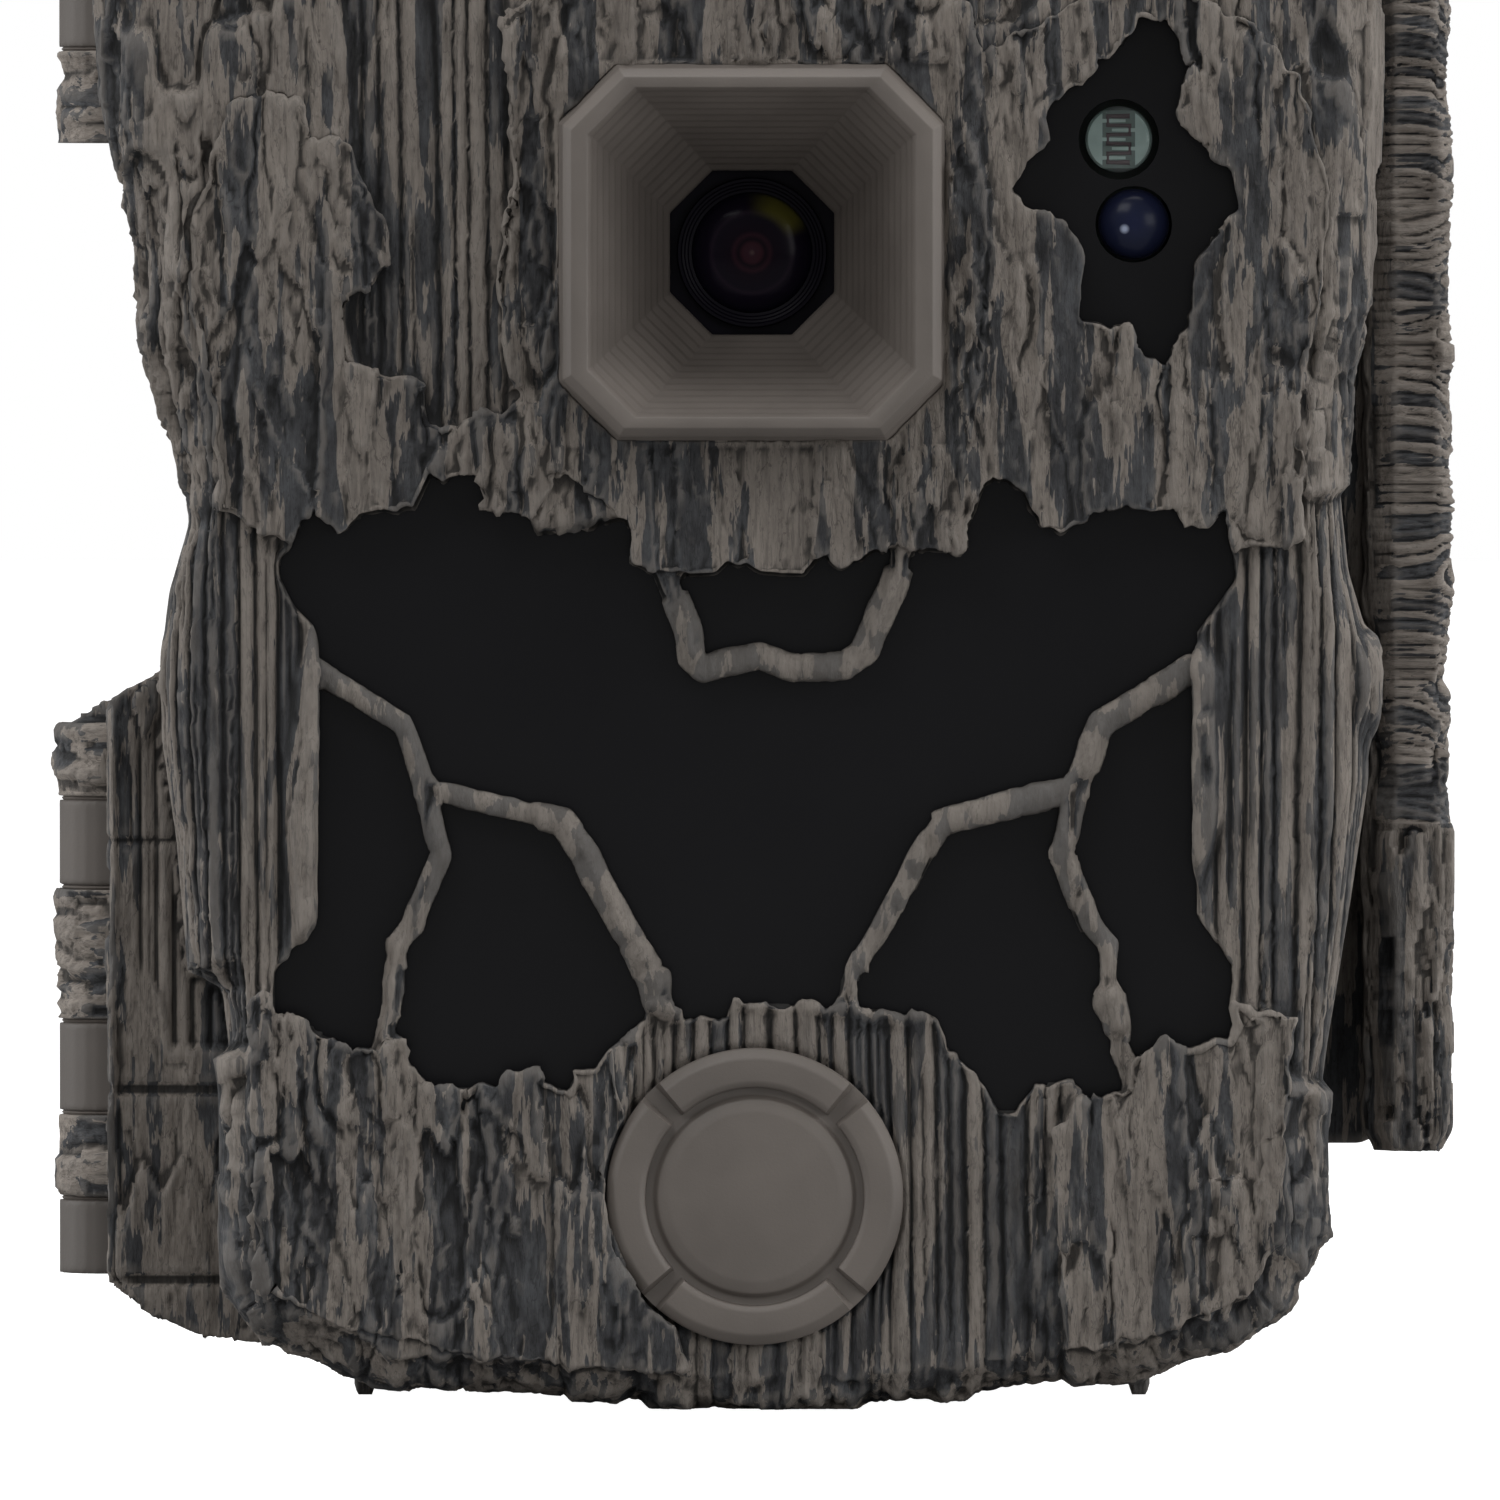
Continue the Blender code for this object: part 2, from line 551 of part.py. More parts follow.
# ---------------------------------------------------------------- windows, sensors and badge
def led_board():
    """The infrared board: rows of round lamps on one plate behind the window."""
    board = box("ir_led_board", (-34.0, -14.4, 22.5), (35.0, -13.0, 67.0), "board")
    for row in range(3):
        for column in range(8):
            place = (-28.7 + 8.3 * column, -17.6, 32.0 + 13.0 * row)
            join(board, cylinder(f"lamp_form_{row}_{column}", place, "Y", 2.5, 7.0, sides=8))
    return board


def window_parts():
    panel = rounded_rectangle((-35.8, 20.8), (36.5, 69.8), 2.0)
    window = prism("ir_window", panel, INNER_FACE_Y + GAP, INNER_FACE_Y + 2.2, "black_gloss")
    plaque = prism(
        "sensor_window", rounded_rectangle((18.0, 76.2), (37.2, 104.4), 2.5), INNER_FACE_Y + GAP,
        INNER_FACE_Y + 2.2, "black_gloss",
    )
    cut(
        plaque,
        cylinder("photocell_hole", (PHOTOCELL[0], -24.0, PHOTOCELL[1]), "Y", 3.0, 6.0),
        cylinder("status_led_hole", (STATUS_LED[0], -24.0, STATUS_LED[1]), "Y", 2.85, 6.0),
    )
    photocell = turned(
        "photocell", [(0.0, 0.0), (2.2, 0.0), (2.55, -0.35), (2.55, -2.4), (0.0, -2.4)],
        (PHOTOCELL[0], -24.6, PHOTOCELL[1]), "fresnel",
    )
    led = turned(
        "status_led",
        [(0.0, 1.6), (1.0, 1.4), (1.85, 0.9), (2.4, 0.1), (2.5, -0.8), (2.5, -5.5), (0.0, -5.5)],
        (STATUS_LED[0], -25.0, STATUS_LED[1]), "blue_led",
    )
    return [window, plaque, photocell, led, led_board()]


def pir_parts():
    middle = (0.0, PIR_Z)
    outer = octagon(PIR_WIDTH, PIR_HEIGHT, PIR_CHAMFER, middle)
    rim = octagon(PIR_WIDTH - 1.2, PIR_HEIGHT - 1.2, PIR_CHAMFER - 0.3, middle)
    bezel = stepped_loft("pir_bezel", [(outer, -23.8), (outer, -30.4), (rim, -31.0)], "taupe")
    join(bezel, prism("pir_lip_form", octagon(31.0, 24.0, 5.0, middle), INNER_FACE_Y + GAP, -23.6))
    opening = octagon(21.0, 14.0, 3.2, middle)
    cut(bezel, prism("pir_opening", opening, -36.0, -20.0))
    bulge = []
    for y, scale in ((-24.4, 1.0), (-27.6, 1.0), (-29.4, 0.9), (-30.4, 0.66), (-30.8, 0.3)):
        bulge.append((octagon(20.2 * scale, 13.2 * scale, 3.0 * scale, middle), y))
    fresnel = stepped_loft("pir_lens", bulge, "fresnel")
    sensor = turned(
        "pir_sensor", [(0.0, 0.0), (4.1, 0.0), (4.1, -3.6), (4.6, -3.6), (4.6, -8.6), (0.0, -8.6)],
        (0, -18.8, PIR_Z), "steel", sides=16,
    )
    return [bezel, fresnel, sensor]


def badge():
    """A plain round badge: a dome inside a raised ring."""
    profile = [
        (0.0, 1.5), (3.0, 1.4), (6.0, 1.1), (7.2, 0.7), (8.0, 0.7), (8.4, 1.5), (BADGE_R - 0.7, 1.5),
        (BADGE_R, 0.9), (BADGE_R, -0.1), (0.0, -0.1),
    ]
    return turned("badge", profile, (BADGE[0], FACE_Y - 0.1, BADGE[1]), "taupe", sides=40)


# ---------------------------------------------------------------- control panel in the cover
BUTTONS = {
    "button_ok": (-17.0, 62.0), "button_up": (-17.0, 73.0), "button_down": (-17.0, 51.0),
    "button_left": (-28.0, 62.0), "button_right": (-6.0, 62.0), "button_menu": (-28.0, 77.0),
}
BUTTON_R = 3.4
SWITCH = (-17.0, 34.0)
CARD_LOW, CARD_HIGH = (10.0, 52.0), (34.0, 84.0)
CARD_CORNER = 3.0
CARD_Y = (-6.8, -4.8)
SCREEN_OPENING = ((-26.0, 90.0), (26.0, 127.0))
CARD_BAY = ((6.0, 20.0), (37.0, 86.5))


def panel_parts():
    face = rounded_rectangle((-38.8, 9.8), (38.8, 134.0), 6.6)
    panel = prism("inner_panel", face, *PANEL_Y, "black_matte")
    openings = {"screen_opening": SCREEN_OPENING, "card_bay": CARD_BAY}
    for name, ((left, bottom), (right, top)) in openings.items():
        cut(panel, box(name, (left, -6.0, bottom), (right, 2.0, top)))
    slot = (SWITCH[0] - 5.6, SWITCH[0] + 5.6)
    cut(panel, box("switch_slot", (slot[0], -6.0, SWITCH[1] - 1.6), (slot[1], 2.0, SWITCH[1] + 1.6)))
    for name, (x, z) in BUTTONS.items():
        cut(panel, cylinder(f"{name}_hole", (x, -2.0, z), "Y", BUTTON_R + 0.35, 8.0, sides=20))
    for i, (x, z) in enumerate(BOSSES):
        cut(panel, cylinder(f"panel_screw_hole_{i}", (x, -2.0, z), "Y", 1.35, 8.0, sides=12))
    screen = box("lcd_screen", (-27.5, -5.6, 88.6), (27.5, -3.7, 128.4), "screen", 0.3)
    board_outline = rounded_rectangle((-29.6, 12.0), (30.6, 133.0), 2.0, 2)
    board = prism("main_board", board_outline, *BOARD_Y, "board")
    socket = box("sd_socket", (8.4, -7.9, 57.0), (35.6, -4.0, 86.0), "steel")
    cut(socket, box("sd_mouth", (9.7, -7.1, 50.0), (34.3, -4.5, 84.5)))
    (left, bottom), (right, top) = CARD_LOW, CARD_HIGH
    outline = [
        (left, bottom), (right, bottom), (right, top - CARD_CORNER), (right - CARD_CORNER, top),
        (left, top),
    ]
    card = prism("sd_card", outline, *CARD_Y, "card")
    screws = [
        turned(
            f"panel_screw_{i + 1}",
            [(0.0, 1.0), (1.6, 0.9), (2.2, 0.2), (2.2, 0.0), (1.0, 0.0), (1.0, -5.5), (0.0, -5.5)],
            (x, PANEL_Y[1] + 0.3, z), "steel", facing="back", sides=12,
        )
        for i, (x, z) in enumerate(BOSSES)
    ]
    return [panel, screen, board, socket, *screws], card


def button(name, place):
    x, z = place
    profile = [
        (0.0, 0.9), (BUTTON_R - 0.5, 0.8), (BUTTON_R, 0.3), (BUTTON_R, -2.1), (4.2, -2.1), (4.2, -3.2),
        (1.5, -3.2), (1.5, -5.6), (0.0, -5.6),
    ]
    return turned(name, profile, (x, PANEL_Y[1], z), "taupe", facing="back", sides=16)


def mode_switch():
    x, z = SWITCH
    knob = box("mode_switch", (x - 2.4, -4.6, z - 1.3), (x + 2.4, -0.7, z + 1.3), "steel", 0.25)
    join(knob, box("switch_foot", (x - 4.5, -6.4, z - 3.0), (x + 4.5, -3.8, z + 3.0)))
    return knob


# ---------------------------------------------------------------- rear housing
BRACKET_SCREWS = [(x, z) for x in (-16.0, 16.0) for z in (34.0, 110.0)]
TRIPOD_PLACE = (0.0, 12.0)
JACK_PLACE = (17.0, 12.0)


def rear_housing():
    outer = rounded_rectangle((-41.5, 6.5), (41.5, 137.0), 9.0)
    inner = rounded_rectangle((-38.8, 9.2), (38.8, 134.3), 6.6)
    housing = prism("rear_housing", outer, 0.0, BACK_WALL_Y, "bark")
    low, high = LATCH_SPAN
    bed = rounded_rectangle((40.8, low + GAP), (47.3, high - GAP), 1.6, 2)
    join(housing, prism("latch_bed", bed, 1.0, 9.5))
    for i, (start, end) in enumerate(EAR_SPANS):
        low_corner, high_corner = (40.8, LATCH_Y - LATCH_R, start), (LATCH_X, LATCH_Y + LATCH_R, end)
        middle = (LATCH_X, LATCH_Y, (start + end) / 2)
        join(housing, box(f"ear_form_{i}", low_corner, high_corner))
        join(housing, cylinder(f"ear_barrel_{i}", middle, "Z", LATCH_R, end - start))
    for side in (-1, 1):
        x = side * FOOT_X
        join(housing, box(f"foot_form_{side}", (x - 0.7, 1.0, 0.0), (x + 0.7, 23.0, 8.0)))
    join(housing, cylinder("tripod_boss", (*TRIPOD_PLACE, 5.4), "Z", 7.0, 4.6))
    cut(housing, prism("housing_cavity", inner, -2.0, BACK_WALL_Y - WALL))
    groove_out = rounded_rectangle((-41.0, 7.0), (41.0, 136.5), 8.5)
    groove_in = rounded_rectangle((-39.3, 8.7), (39.3, 134.8), 7.0)
    groove = prism("seal_groove", groove_out, -1.0, 1.6)
    cut(groove, prism("seal_groove_core", groove_in, -3.0, 4.0))
    cut(housing, groove)
    cut(housing, cylinder("latch_pin_bore", (LATCH_X, LATCH_Y, MID_Z), "Z", LATCH_BORE_R, 130.0, sides=16))
    cut(housing, cylinder("tripod_bore", (*TRIPOD_PLACE, 6.0), "Z", 4.9, 14.0))
    cut(housing, cylinder("jack_bore", (*JACK_PLACE, 8.0), "Z", 3.7, 8.0))
    for i, (x, z) in enumerate(BRACKET_SCREWS):
        cut(housing, cylinder(f"bracket_bore_{i}", (x, 23.0, z), "Y", 1.75, 8.0, sides=12))
    return housing


def gasket():
    outer = rounded_rectangle((-40.7, 7.3), (40.7, 136.2), 8.2)
    inner = rounded_rectangle((-39.6, 8.4), (39.6, 135.1), 7.1)
    seal = prism("gasket", outer, -0.1, 1.3, "rubber")
    return cut(seal, prism("gasket_core", inner, -3.0, 4.0))


def hinge_leaf(name, spans):
    """Plain barrels on one strip, which is fixed to the side of the rear housing."""
    low, high = spans[0][0], spans[-1][1]
    leaf = box(name, (-44.4, 5.2, low), (-41.8, 16.0, high), "taupe")
    for i, (start, end) in enumerate(spans):
        middle = (start + end) / 2
        length = end - start - GAP
        arm = box(f"{name}_arm_{i}", (HINGE_X, 0.2, middle - length / 2), (-42.1, 8.2, middle + length / 2))
        barrel = cylinder(f"{name}_barrel_{i}", (HINGE_X, HINGE_Y, middle), "Z", BARREL_R, length)
        join(leaf, arm, barrel)
    middle = (HINGE_X, HINGE_Y, (low + high) / 2)
    return cut(leaf, cylinder(f"{name}_bore", middle, "Z", PIN_BORE_R, high - low + 8, sides=16))


def hinge_pin(name, spans_a, spans_b):
    low = min(spans_a[0][0], spans_b[0][0]) + 0.3
    high = max(spans_a[-1][1], spans_b[-1][1]) - 0.3
    return cylinder(name, (HINGE_X, HINGE_Y, (low + high) / 2), "Z", PIN_R, high - low, "steel", 16)


TRAY_LOW, TRAY_HIGH = (-32.2, 3.4, 19.6), (32.2, 21.0, 133.6)
CELL_Y = 11.6
ROW_LOW = (24.2, 79.0)


def battery_tray():
    (x0, y0, z0), (x1, y1, z1) = TRAY_LOW, TRAY_HIGH
    tray = box("battery_tray", TRAY_LOW, TRAY_HIGH, "black_matte")
    divider = (z0 + z1) / 2
    for i, (low, high) in enumerate(((z0 + 1.5, divider - 0.8), (divider + 0.8, z1 - 1.5))):
        cut(tray, box(f"tray_room_{i}", (x0 + 1.6, y0 - 3.0, low), (x1 - 1.6, y1 - 1.6, high)))
    return tray


def cells():
    made = []
    half = CELL_LENGTH / 2
    profile = [
        (0.0, half), (2.6, half), (2.6, half - 1.2), (CELL_R - 0.6, half - 1.2), (CELL_R, half - 1.8),
        (CELL_R, -half + 0.6), (CELL_R - 0.6, -half), (0.0, -half),
    ]
    for row, low in enumerate(ROW_LOW):
        for column in range(4):
            x = (column - 1.5) * CELL_PITCH
            facing = "up" if (row + column) % 2 else "down"
            name = f"cell_{row * 4 + column + 1}"
            made.append(turned(name, profile, (x, CELL_Y, low + half), "cell", facing, 12))
    return made


def contact_strips():
    strips = []
    for name, z in (("contact_strip_bottom", 21.6), ("contact_strip_top", 131.0)):
        strip = box(name, (-29.5, 6.0, z), (29.5, 17.0, z + 0.6), "steel")
        lift = 0.9 if z < MID_Z else -0.3
        for column in range(4):
            x = (column - 1.5) * CELL_PITCH
            join(strip, cylinder(f"{name}_bump_{column}", (x, CELL_Y, z + lift), "Z", 2.4, 1.2, sides=10))
        strips.append(strip)
    return strips


def tripod_insert():
    insert = turned(
        "tripod_insert", [(0.0, 3.0), (6.0, 3.0), (6.0, 2.0), (4.5, 2.0), (4.5, -5.0), (0.0, -5.0)],
        (*TRIPOD_PLACE, 4.7), "brass", facing="down",
    )
    return cut(insert, cylinder("tripod_thread", (*TRIPOD_PLACE, 5.0), "Z", 3.15, 20.0))


def jack_parts():
    jack = box("dc_jack", (12.0, 6.5, 9.5), (22.0, 17.5, 18.9), "black_matte", 0.4)
    join(jack, cylinder("jack_barrel", (*JACK_PLACE, 9.0), "Z", 3.3, 3.6))
    cut(jack, cylinder("jack_hole", (*JACK_PLACE, 9.0), "Z", 2.7, 12.0, sides=16))
    flap = rounded_rectangle((9.0, 6.0), (26.0, 18.0), 2.0, 3)
    cover = prism("port_cover", flap, 4.6, 6.2, "rubber", "XY")
    return jack, cover


# ---------------------------------------------------------------- latch
def latch_lever():
    """A long lever: a barrel round its pin, a side wall, and a front edge turned in over the cover."""
    low, high = LATCH_SPAN
    arc = []
    for i in range(13):
        angle = math.radians(-8 + (283 + 8) * i / 12)
        arc.append((LATCH_X + LATCH_R * math.cos(angle), LATCH_Y + LATCH_R * math.sin(angle)))
    outline = [(47.0, -4.6), (47.0, -7.4), (47.7, -8.0), (51.4, -8.0), (52.25, -7.2), *arc, (49.9, -4.6)]
    lever = prism("latch_lever", outline, low, high, "bark", "XY")
    for i, (start, end) in enumerate(EAR_SPANS):
        cut(lever, box(f"ear_room_{i}", (44.0, 10.4, start - GAP), (54.0, 18.0, end + GAP)))
    cut(lever, cylinder("lever_bore", (LATCH_X, LATCH_Y, MID_Z), "Z", LATCH_BORE_R, 130.0, sides=16))
    return lever


def latch_pin():
    low, high = LATCH_SPAN
    middle = (LATCH_X, LATCH_Y, (low + high) / 2)
    return cylinder("latch_pin", middle, "Z", LATCH_PIN_R, high - low - 1.0, "steel", 16)


# ---------------------------------------------------------------- tree bracket
STRAP_SLOT = (58.0, 86.0)
RAIL_LOW, RAIL_HIGH = 30.0, 114.0
RAIL_TEETH = 8
RAIL_TOOTH = 1.8
RAIL_FOOT_Y = 26.6
BRACKET_REAR_Y = 27.3


def rail_outline():
    """Side view (y, z) of a rail whose rear edge is cut into flat-topped teeth."""
    pitch = (RAIL_HIGH - RAIL_LOW) / RAIL_TEETH
    root = REAR_Y - RAIL_TOOTH
    points = [(RAIL_FOOT_Y, RAIL_LOW)]
    for i in range(RAIL_TEETH):
        z = RAIL_LOW + pitch * i
        points += [(root, z + 0.6), (REAR_Y, z + 2.6), (REAR_Y, z + pitch - 2.6), (root, z + pitch - 0.6)]
    points.append((RAIL_FOOT_Y, RAIL_HIGH))
    return points


def tree_bracket():
    plate = rounded_rectangle((-30.0, 25.0), (30.0, 119.0), 5.0)
    bracket = prism("tree_bracket", plate, BACK_WALL_Y + GAP, BRACKET_REAR_Y, "taupe")
    for side in (-1, 1):
        inner, outer = sorted((side * 23.0, side * 28.5))
        join(bracket, prism(f"rail_form_{side}", rail_outline(), inner, outer, plane="YZ"))
    low, high = STRAP_SLOT
    cut(bracket, box("strap_path", (-40.0, BRACKET_REAR_Y, low), (40.0, 32.4, high)))
    for i, (x, z) in enumerate(BRACKET_SCREWS):
        cut(bracket, cylinder(f"bracket_hole_{i}", (x, 26.0, z), "Y", 1.75, 8.0, sides=12))
    return bracket


def bracket_screws():
    profile = [(0.0, 1.7), (1.8, 1.6), (2.8, 0.5), (2.8, 0.0), (1.4, 0.0), (1.4, -4.6), (0.0, -4.6)]
    return [
        turned(
            f"bracket_screw_{i + 1}", profile, (x, BRACKET_REAR_Y + GAP, z), "steel",
            facing="back", sides=12,
        )
        for i, (x, z) in enumerate(BRACKET_SCREWS)
    ]


# ---------------------------------------------------------------- assembly
def build():
    door = holder("door_pivot", (HINGE_X, HINGE_Y, MID_Z))
    panel, card = panel_parts()
    carry(door, front_cover(), *lens_parts(), *window_parts(), *pir_parts(), badge(), *panel)
    for name, place in BUTTONS.items():
        pivot = holder(f"{name}_guide", (place[0], PANEL_Y[1], place[1]))
        carry(pivot, button(name, place))
    carry(holder("switch_guide", (SWITCH[0], -2.0, SWITCH[1])), mode_switch())
    carry(holder("card_guide", (22.0, -5.8, 68.0)), card)

    rear_housing()
    gasket()
    hinge_leaf("hinge_leaf_lower", LOWER_PLAIN)
    hinge_leaf("hinge_leaf_upper", UPPER_PLAIN)
    hinge_pin("hinge_pin_lower", LOWER_PLAIN, LOWER_CAMO)
    hinge_pin("hinge_pin_upper", UPPER_PLAIN, UPPER_CAMO)
    battery_tray()
    cells()
    contact_strips()
    tripod_insert()
    _, cover = jack_parts()
    carry(holder("port_cover_pivot", (9.4, 12.0, 5.4)), cover)
    carry(holder("latch_pivot", (LATCH_X, LATCH_Y, MID_Z)), latch_lever())
    latch_pin()
    tree_bracket()
    bracket_screws()


build()
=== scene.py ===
"""Looks of the trail camera: its bark relief, camouflage, optics and inner works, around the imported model.

The object is in metres, with the lens looking along -Y. Lengths written below are in millimetres, and
the helpers turn them into metres.
"""

import math

import bmesh
import bpy
import numpy as np
from mathutils import Matrix, Vector


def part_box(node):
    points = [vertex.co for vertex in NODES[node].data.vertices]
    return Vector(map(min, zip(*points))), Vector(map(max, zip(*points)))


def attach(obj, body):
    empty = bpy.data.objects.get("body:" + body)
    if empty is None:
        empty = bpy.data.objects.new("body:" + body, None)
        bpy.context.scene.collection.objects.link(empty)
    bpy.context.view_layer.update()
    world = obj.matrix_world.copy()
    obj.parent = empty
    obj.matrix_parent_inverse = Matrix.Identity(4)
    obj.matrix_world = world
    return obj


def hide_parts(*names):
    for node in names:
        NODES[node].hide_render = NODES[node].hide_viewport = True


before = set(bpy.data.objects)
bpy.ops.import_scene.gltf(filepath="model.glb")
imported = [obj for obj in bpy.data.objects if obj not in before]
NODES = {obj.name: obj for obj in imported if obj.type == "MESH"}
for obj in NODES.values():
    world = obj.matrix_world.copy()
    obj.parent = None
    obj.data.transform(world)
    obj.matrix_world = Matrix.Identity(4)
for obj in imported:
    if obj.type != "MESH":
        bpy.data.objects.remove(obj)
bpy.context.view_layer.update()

MM = 0.001


def span(node):
    """A node's lowest corner, highest corner and middle, in millimetres."""
    low, high = (np.array(corner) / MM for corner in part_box(node))
    return low, high, (low + high) / 2


# ---------------- noise over a surface
def lattice(i, j, seed):
    """A fixed value from -1 to 1 for each whole-number point, the same on every run."""
    h = (i.astype(np.int64) * 374761393 + j.astype(np.int64) * 668265263 + seed * 982451653) & 0xFFFFFFFF
    h = ((h ^ (h >> 13)) * 1274126177) & 0xFFFFFFFF
    return (h ^ (h >> 16)) / 2147483647.5 - 1.0


def noise(u, v, seed):
    """Smooth noise from -1 to 1 with features one unit across."""
    i, j = np.floor(u), np.floor(v)
    s, t = u - i, v - j
    s, t = s * s * (3 - 2 * s), t * t * (3 - 2 * t)
    low = lattice(i, j, seed) * (1 - s) + lattice(i + 1, j, seed) * s
    high = lattice(i, j + 1, seed) * (1 - s) + lattice(i + 1, j + 1, seed) * s
    return low * (1 - t) + high * t


def peak(value, width):
    """1 where a value is 0, falling to nothing over about twice the width."""
    return np.exp(-((value / width) ** 2))


def fade(low, high, value):
    """0 below low, 1 above high, and a smooth slope between."""
    t = np.clip((value - low) / (high - low), 0, 1)
    return t * t * (3 - 2 * t)


# ---------------- bark relief, in millimetres
def ridges(u, v, seed, pitch=1.5):
    """Long straight ridges along v: their height from 0 to 1, and a fixed tone for each of them."""
    bend = 0.6 * noise(u / 2.3, u * 0 + 0.5, seed) + 0.45 * noise(u / 12, v / 70, seed + 1)
    phase = u / pitch + bend + 0.05 * noise(u / 0.9, v / 5, seed + 2)
    ridge = np.floor(phase)
    across = np.abs(2 * (phase - ridge) - 1)
    tone = lattice(ridge, ridge * 0, seed + 3)
    split = 0.4 * fade(0.1, 0.3, noise(ridge * 3.7, v / 16, seed + 4)) * peak(across, 0.2)
    return (0.82 + 0.18 * tone) * (1 - across ** 3.5) - split, tone


def facets(u, v, wide, long, seed):
    """Chips with a step round each: every one has its own height, from -1 to 1, and its own slope."""
    a = u / wide + 0.3 * noise(2.2 * u / wide, 1.7 * v / long, seed)
    b = v / long + 0.3 * noise(2.6 * u / wide, 2.1 * v / long, seed + 1)
    i, j = np.floor(a), np.floor(b)
    nearest, height = np.full(u.shape, 9.0), np.zeros(u.shape)
    for di in (-1, 0, 1):
        for dj in (-1, 0, 1):
            ci, cj = i + di, j + dj
            move_a, move_b, level, slope_a, slope_b = (lattice(ci, cj, seed + k) for k in range(2, 7))
            da, db = a - ci - 0.5 - 0.45 * move_a, b - cj - 0.5 - 0.45 * move_b
            level = level + 1.3 * slope_a * da + 0.9 * slope_b * db
            gap = da ** 2 + db ** 2
            closer = gap < nearest
            nearest = np.where(closer, gap, nearest)
            height = np.where(closer, level, height)
    return height


def cracks(u, v, seed):
    """0..1 along thin fissures, most of them upright and only in places."""
    line = noise((u + 0.5 * noise(u, v / 2.5, seed)) / 2.6, v / 14, seed + 1)
    where = fade(-0.15, 0.2, noise(u / 6, v / 9, seed + 2))
    return peak(line, 0.05) * where


def chipped(u, v, seed):
    """Relief in millimetres of flaking bark: large chips, small chips, cracks and grain."""
    rough = fade(-0.25, 0.45, noise(u / 7, v / 11, seed))
    chips = 0.34 * facets(u, v, 4.2, 17.0, seed + 10)
    chips = chips + (0.11 + 0.15 * rough) * facets(u, v, 2.0, 7.5, seed + 20)
    chips = chips + (0.05 + 0.10 * rough) * facets(u + 0.25 * v, v, 1.0, 3.4, seed + 30)
    chips = chips + 0.05 * rough * facets(u - 0.2 * v, v, 0.55, 1.7, seed + 60)
    grain = 0.03 * noise(u / 0.6, v / 2.2, seed + 40)
    return chips + grain - 0.55 * cracks(u, v, seed + 50)


def bark(u, v, plate, seed=0):
    """Relief in millimetres, plus how high each point stands between the grooves, whose low values get a
    painted shade, and the tone of each ridge.
    """
    ridge, tone = ridges(u, v, 1 + seed)
    hollow = 0.62 * (ridge - 1) + 0.03 * noise(u / 0.5, v / 3, 31 + seed)
    height = hollow * (1 - plate) + chipped(u, v, 11 + seed) * plate
    return height, ridge * (1 - plate) + plate, tone * (1 - plate)


# ---------------- meshes worked on as arrays
def rows_of(items, key):
    """One row of three numbers for each vertex, normal or face."""
    values = np.empty(len(items) * 3)
    items.foreach_get(key, values)
    return values.reshape(-1, 3)


def points_of(mesh):
    """A mesh's vertices in millimetres."""
    return rows_of(mesh.vertices, "co") / MM


def set_points(mesh, points):
    mesh.vertices.foreach_set("co", (points * MM).ravel())
    mesh.update()


class Neighbours:
    """Averages of values over each vertex's neighbours along the edges."""

    def __init__(self, mesh):
        edges = np.empty(len(mesh.edges) * 2, np.int64)
        mesh.edges.foreach_get("vertices", edges)
        self.a, self.b = edges.reshape(-1, 2).T
        self.size = len(mesh.vertices)
        self.count = np.maximum(np.bincount(edges, minlength=self.size), 1)

    def mean(self, values):
        if values.ndim == 2:
            return np.stack([self.mean(column) for column in values.T], axis=1)
        total = np.bincount(self.a, values[self.b], self.size)
        return (total + np.bincount(self.b, values[self.a], self.size)) / self.count

    def smooth(self, values, rounds):
        for _ in range(rounds):
            values = (values + self.mean(values)) / 2
        return values


def new_object(name, data):
    obj = bpy.data.objects.new(name, data)
    bpy.context.scene.collection.objects.link(obj)
    return obj


def evaluated_mesh(obj):
    graph = bpy.context.evaluated_depsgraph_get()
    return bpy.data.meshes.new_from_object(obj.evaluated_get(graph))


def apply_modifiers(obj):
    mesh = evaluated_mesh(obj)
    obj.modifiers.clear()
    obj.data = mesh


def remeshed(node, name, cell, stretch=(1.0, 1.0, 1.0)):
    """A fine even copy of a CAD node. stretch lengthens the cells along an axis."""
    mesh = NODES[node].data.copy()
    mesh.materials.clear()
    set_points(mesh, points_of(mesh) / stretch)
    obj = new_object(name, mesh)
    grid = obj.modifiers.new("Remesh", "REMESH")
    grid.mode = "VOXEL"
    grid.voxel_size = cell * MM
    apply_modifiers(obj)
    set_points(obj.data, points_of(obj.data) * stretch)
    return obj


def write_attribute(mesh, name, values):
    attribute = mesh.attributes.new(name, "FLOAT", "POINT")
    attribute.data.foreach_set("value", values.astype(np.float32))


FULL_WEAR_HIGHLIGHT_AND_SHADE = 0.06  # how far in millimetres a point stands out where its paint is fully worn and its painted highlight full, or sinks in where its painted shade is darkest


def write_wear_highlight_and_shade(mesh, near):
    """Saves how convex (over 0.5) or hollow (under 0.5) the surface is at each vertex: the camouflage paints
    convex points paler, partly as worn paint and partly as a painted highlight, and hollow points darker as
    painted shade.
    """
    points = points_of(mesh)
    rise = np.einsum("ij,ij->i", points - near.smooth(points, 6), rows_of(mesh.vertex_normals, "vector"))
    write_attribute(mesh, "wear_highlight_and_shade", np.clip(0.5 + near.smooth(rise, 1) / FULL_WEAR_HIGHLIGHT_AND_SHADE * 0.5, 0, 1))


def paint_faces(obj, *choices):
    """Gives faces a second or later material where its test of their middles is true."""
    faces = obj.data.polygons
    centres = rows_of(faces, "center") / MM
    slots = np.zeros(len(faces), np.int32)
    for index, (material, where) in enumerate(choices, 1):
        obj.data.materials.append(MATERIALS[material])
        slots[where(centres)] = index
    faces.foreach_set("material_index", slots)


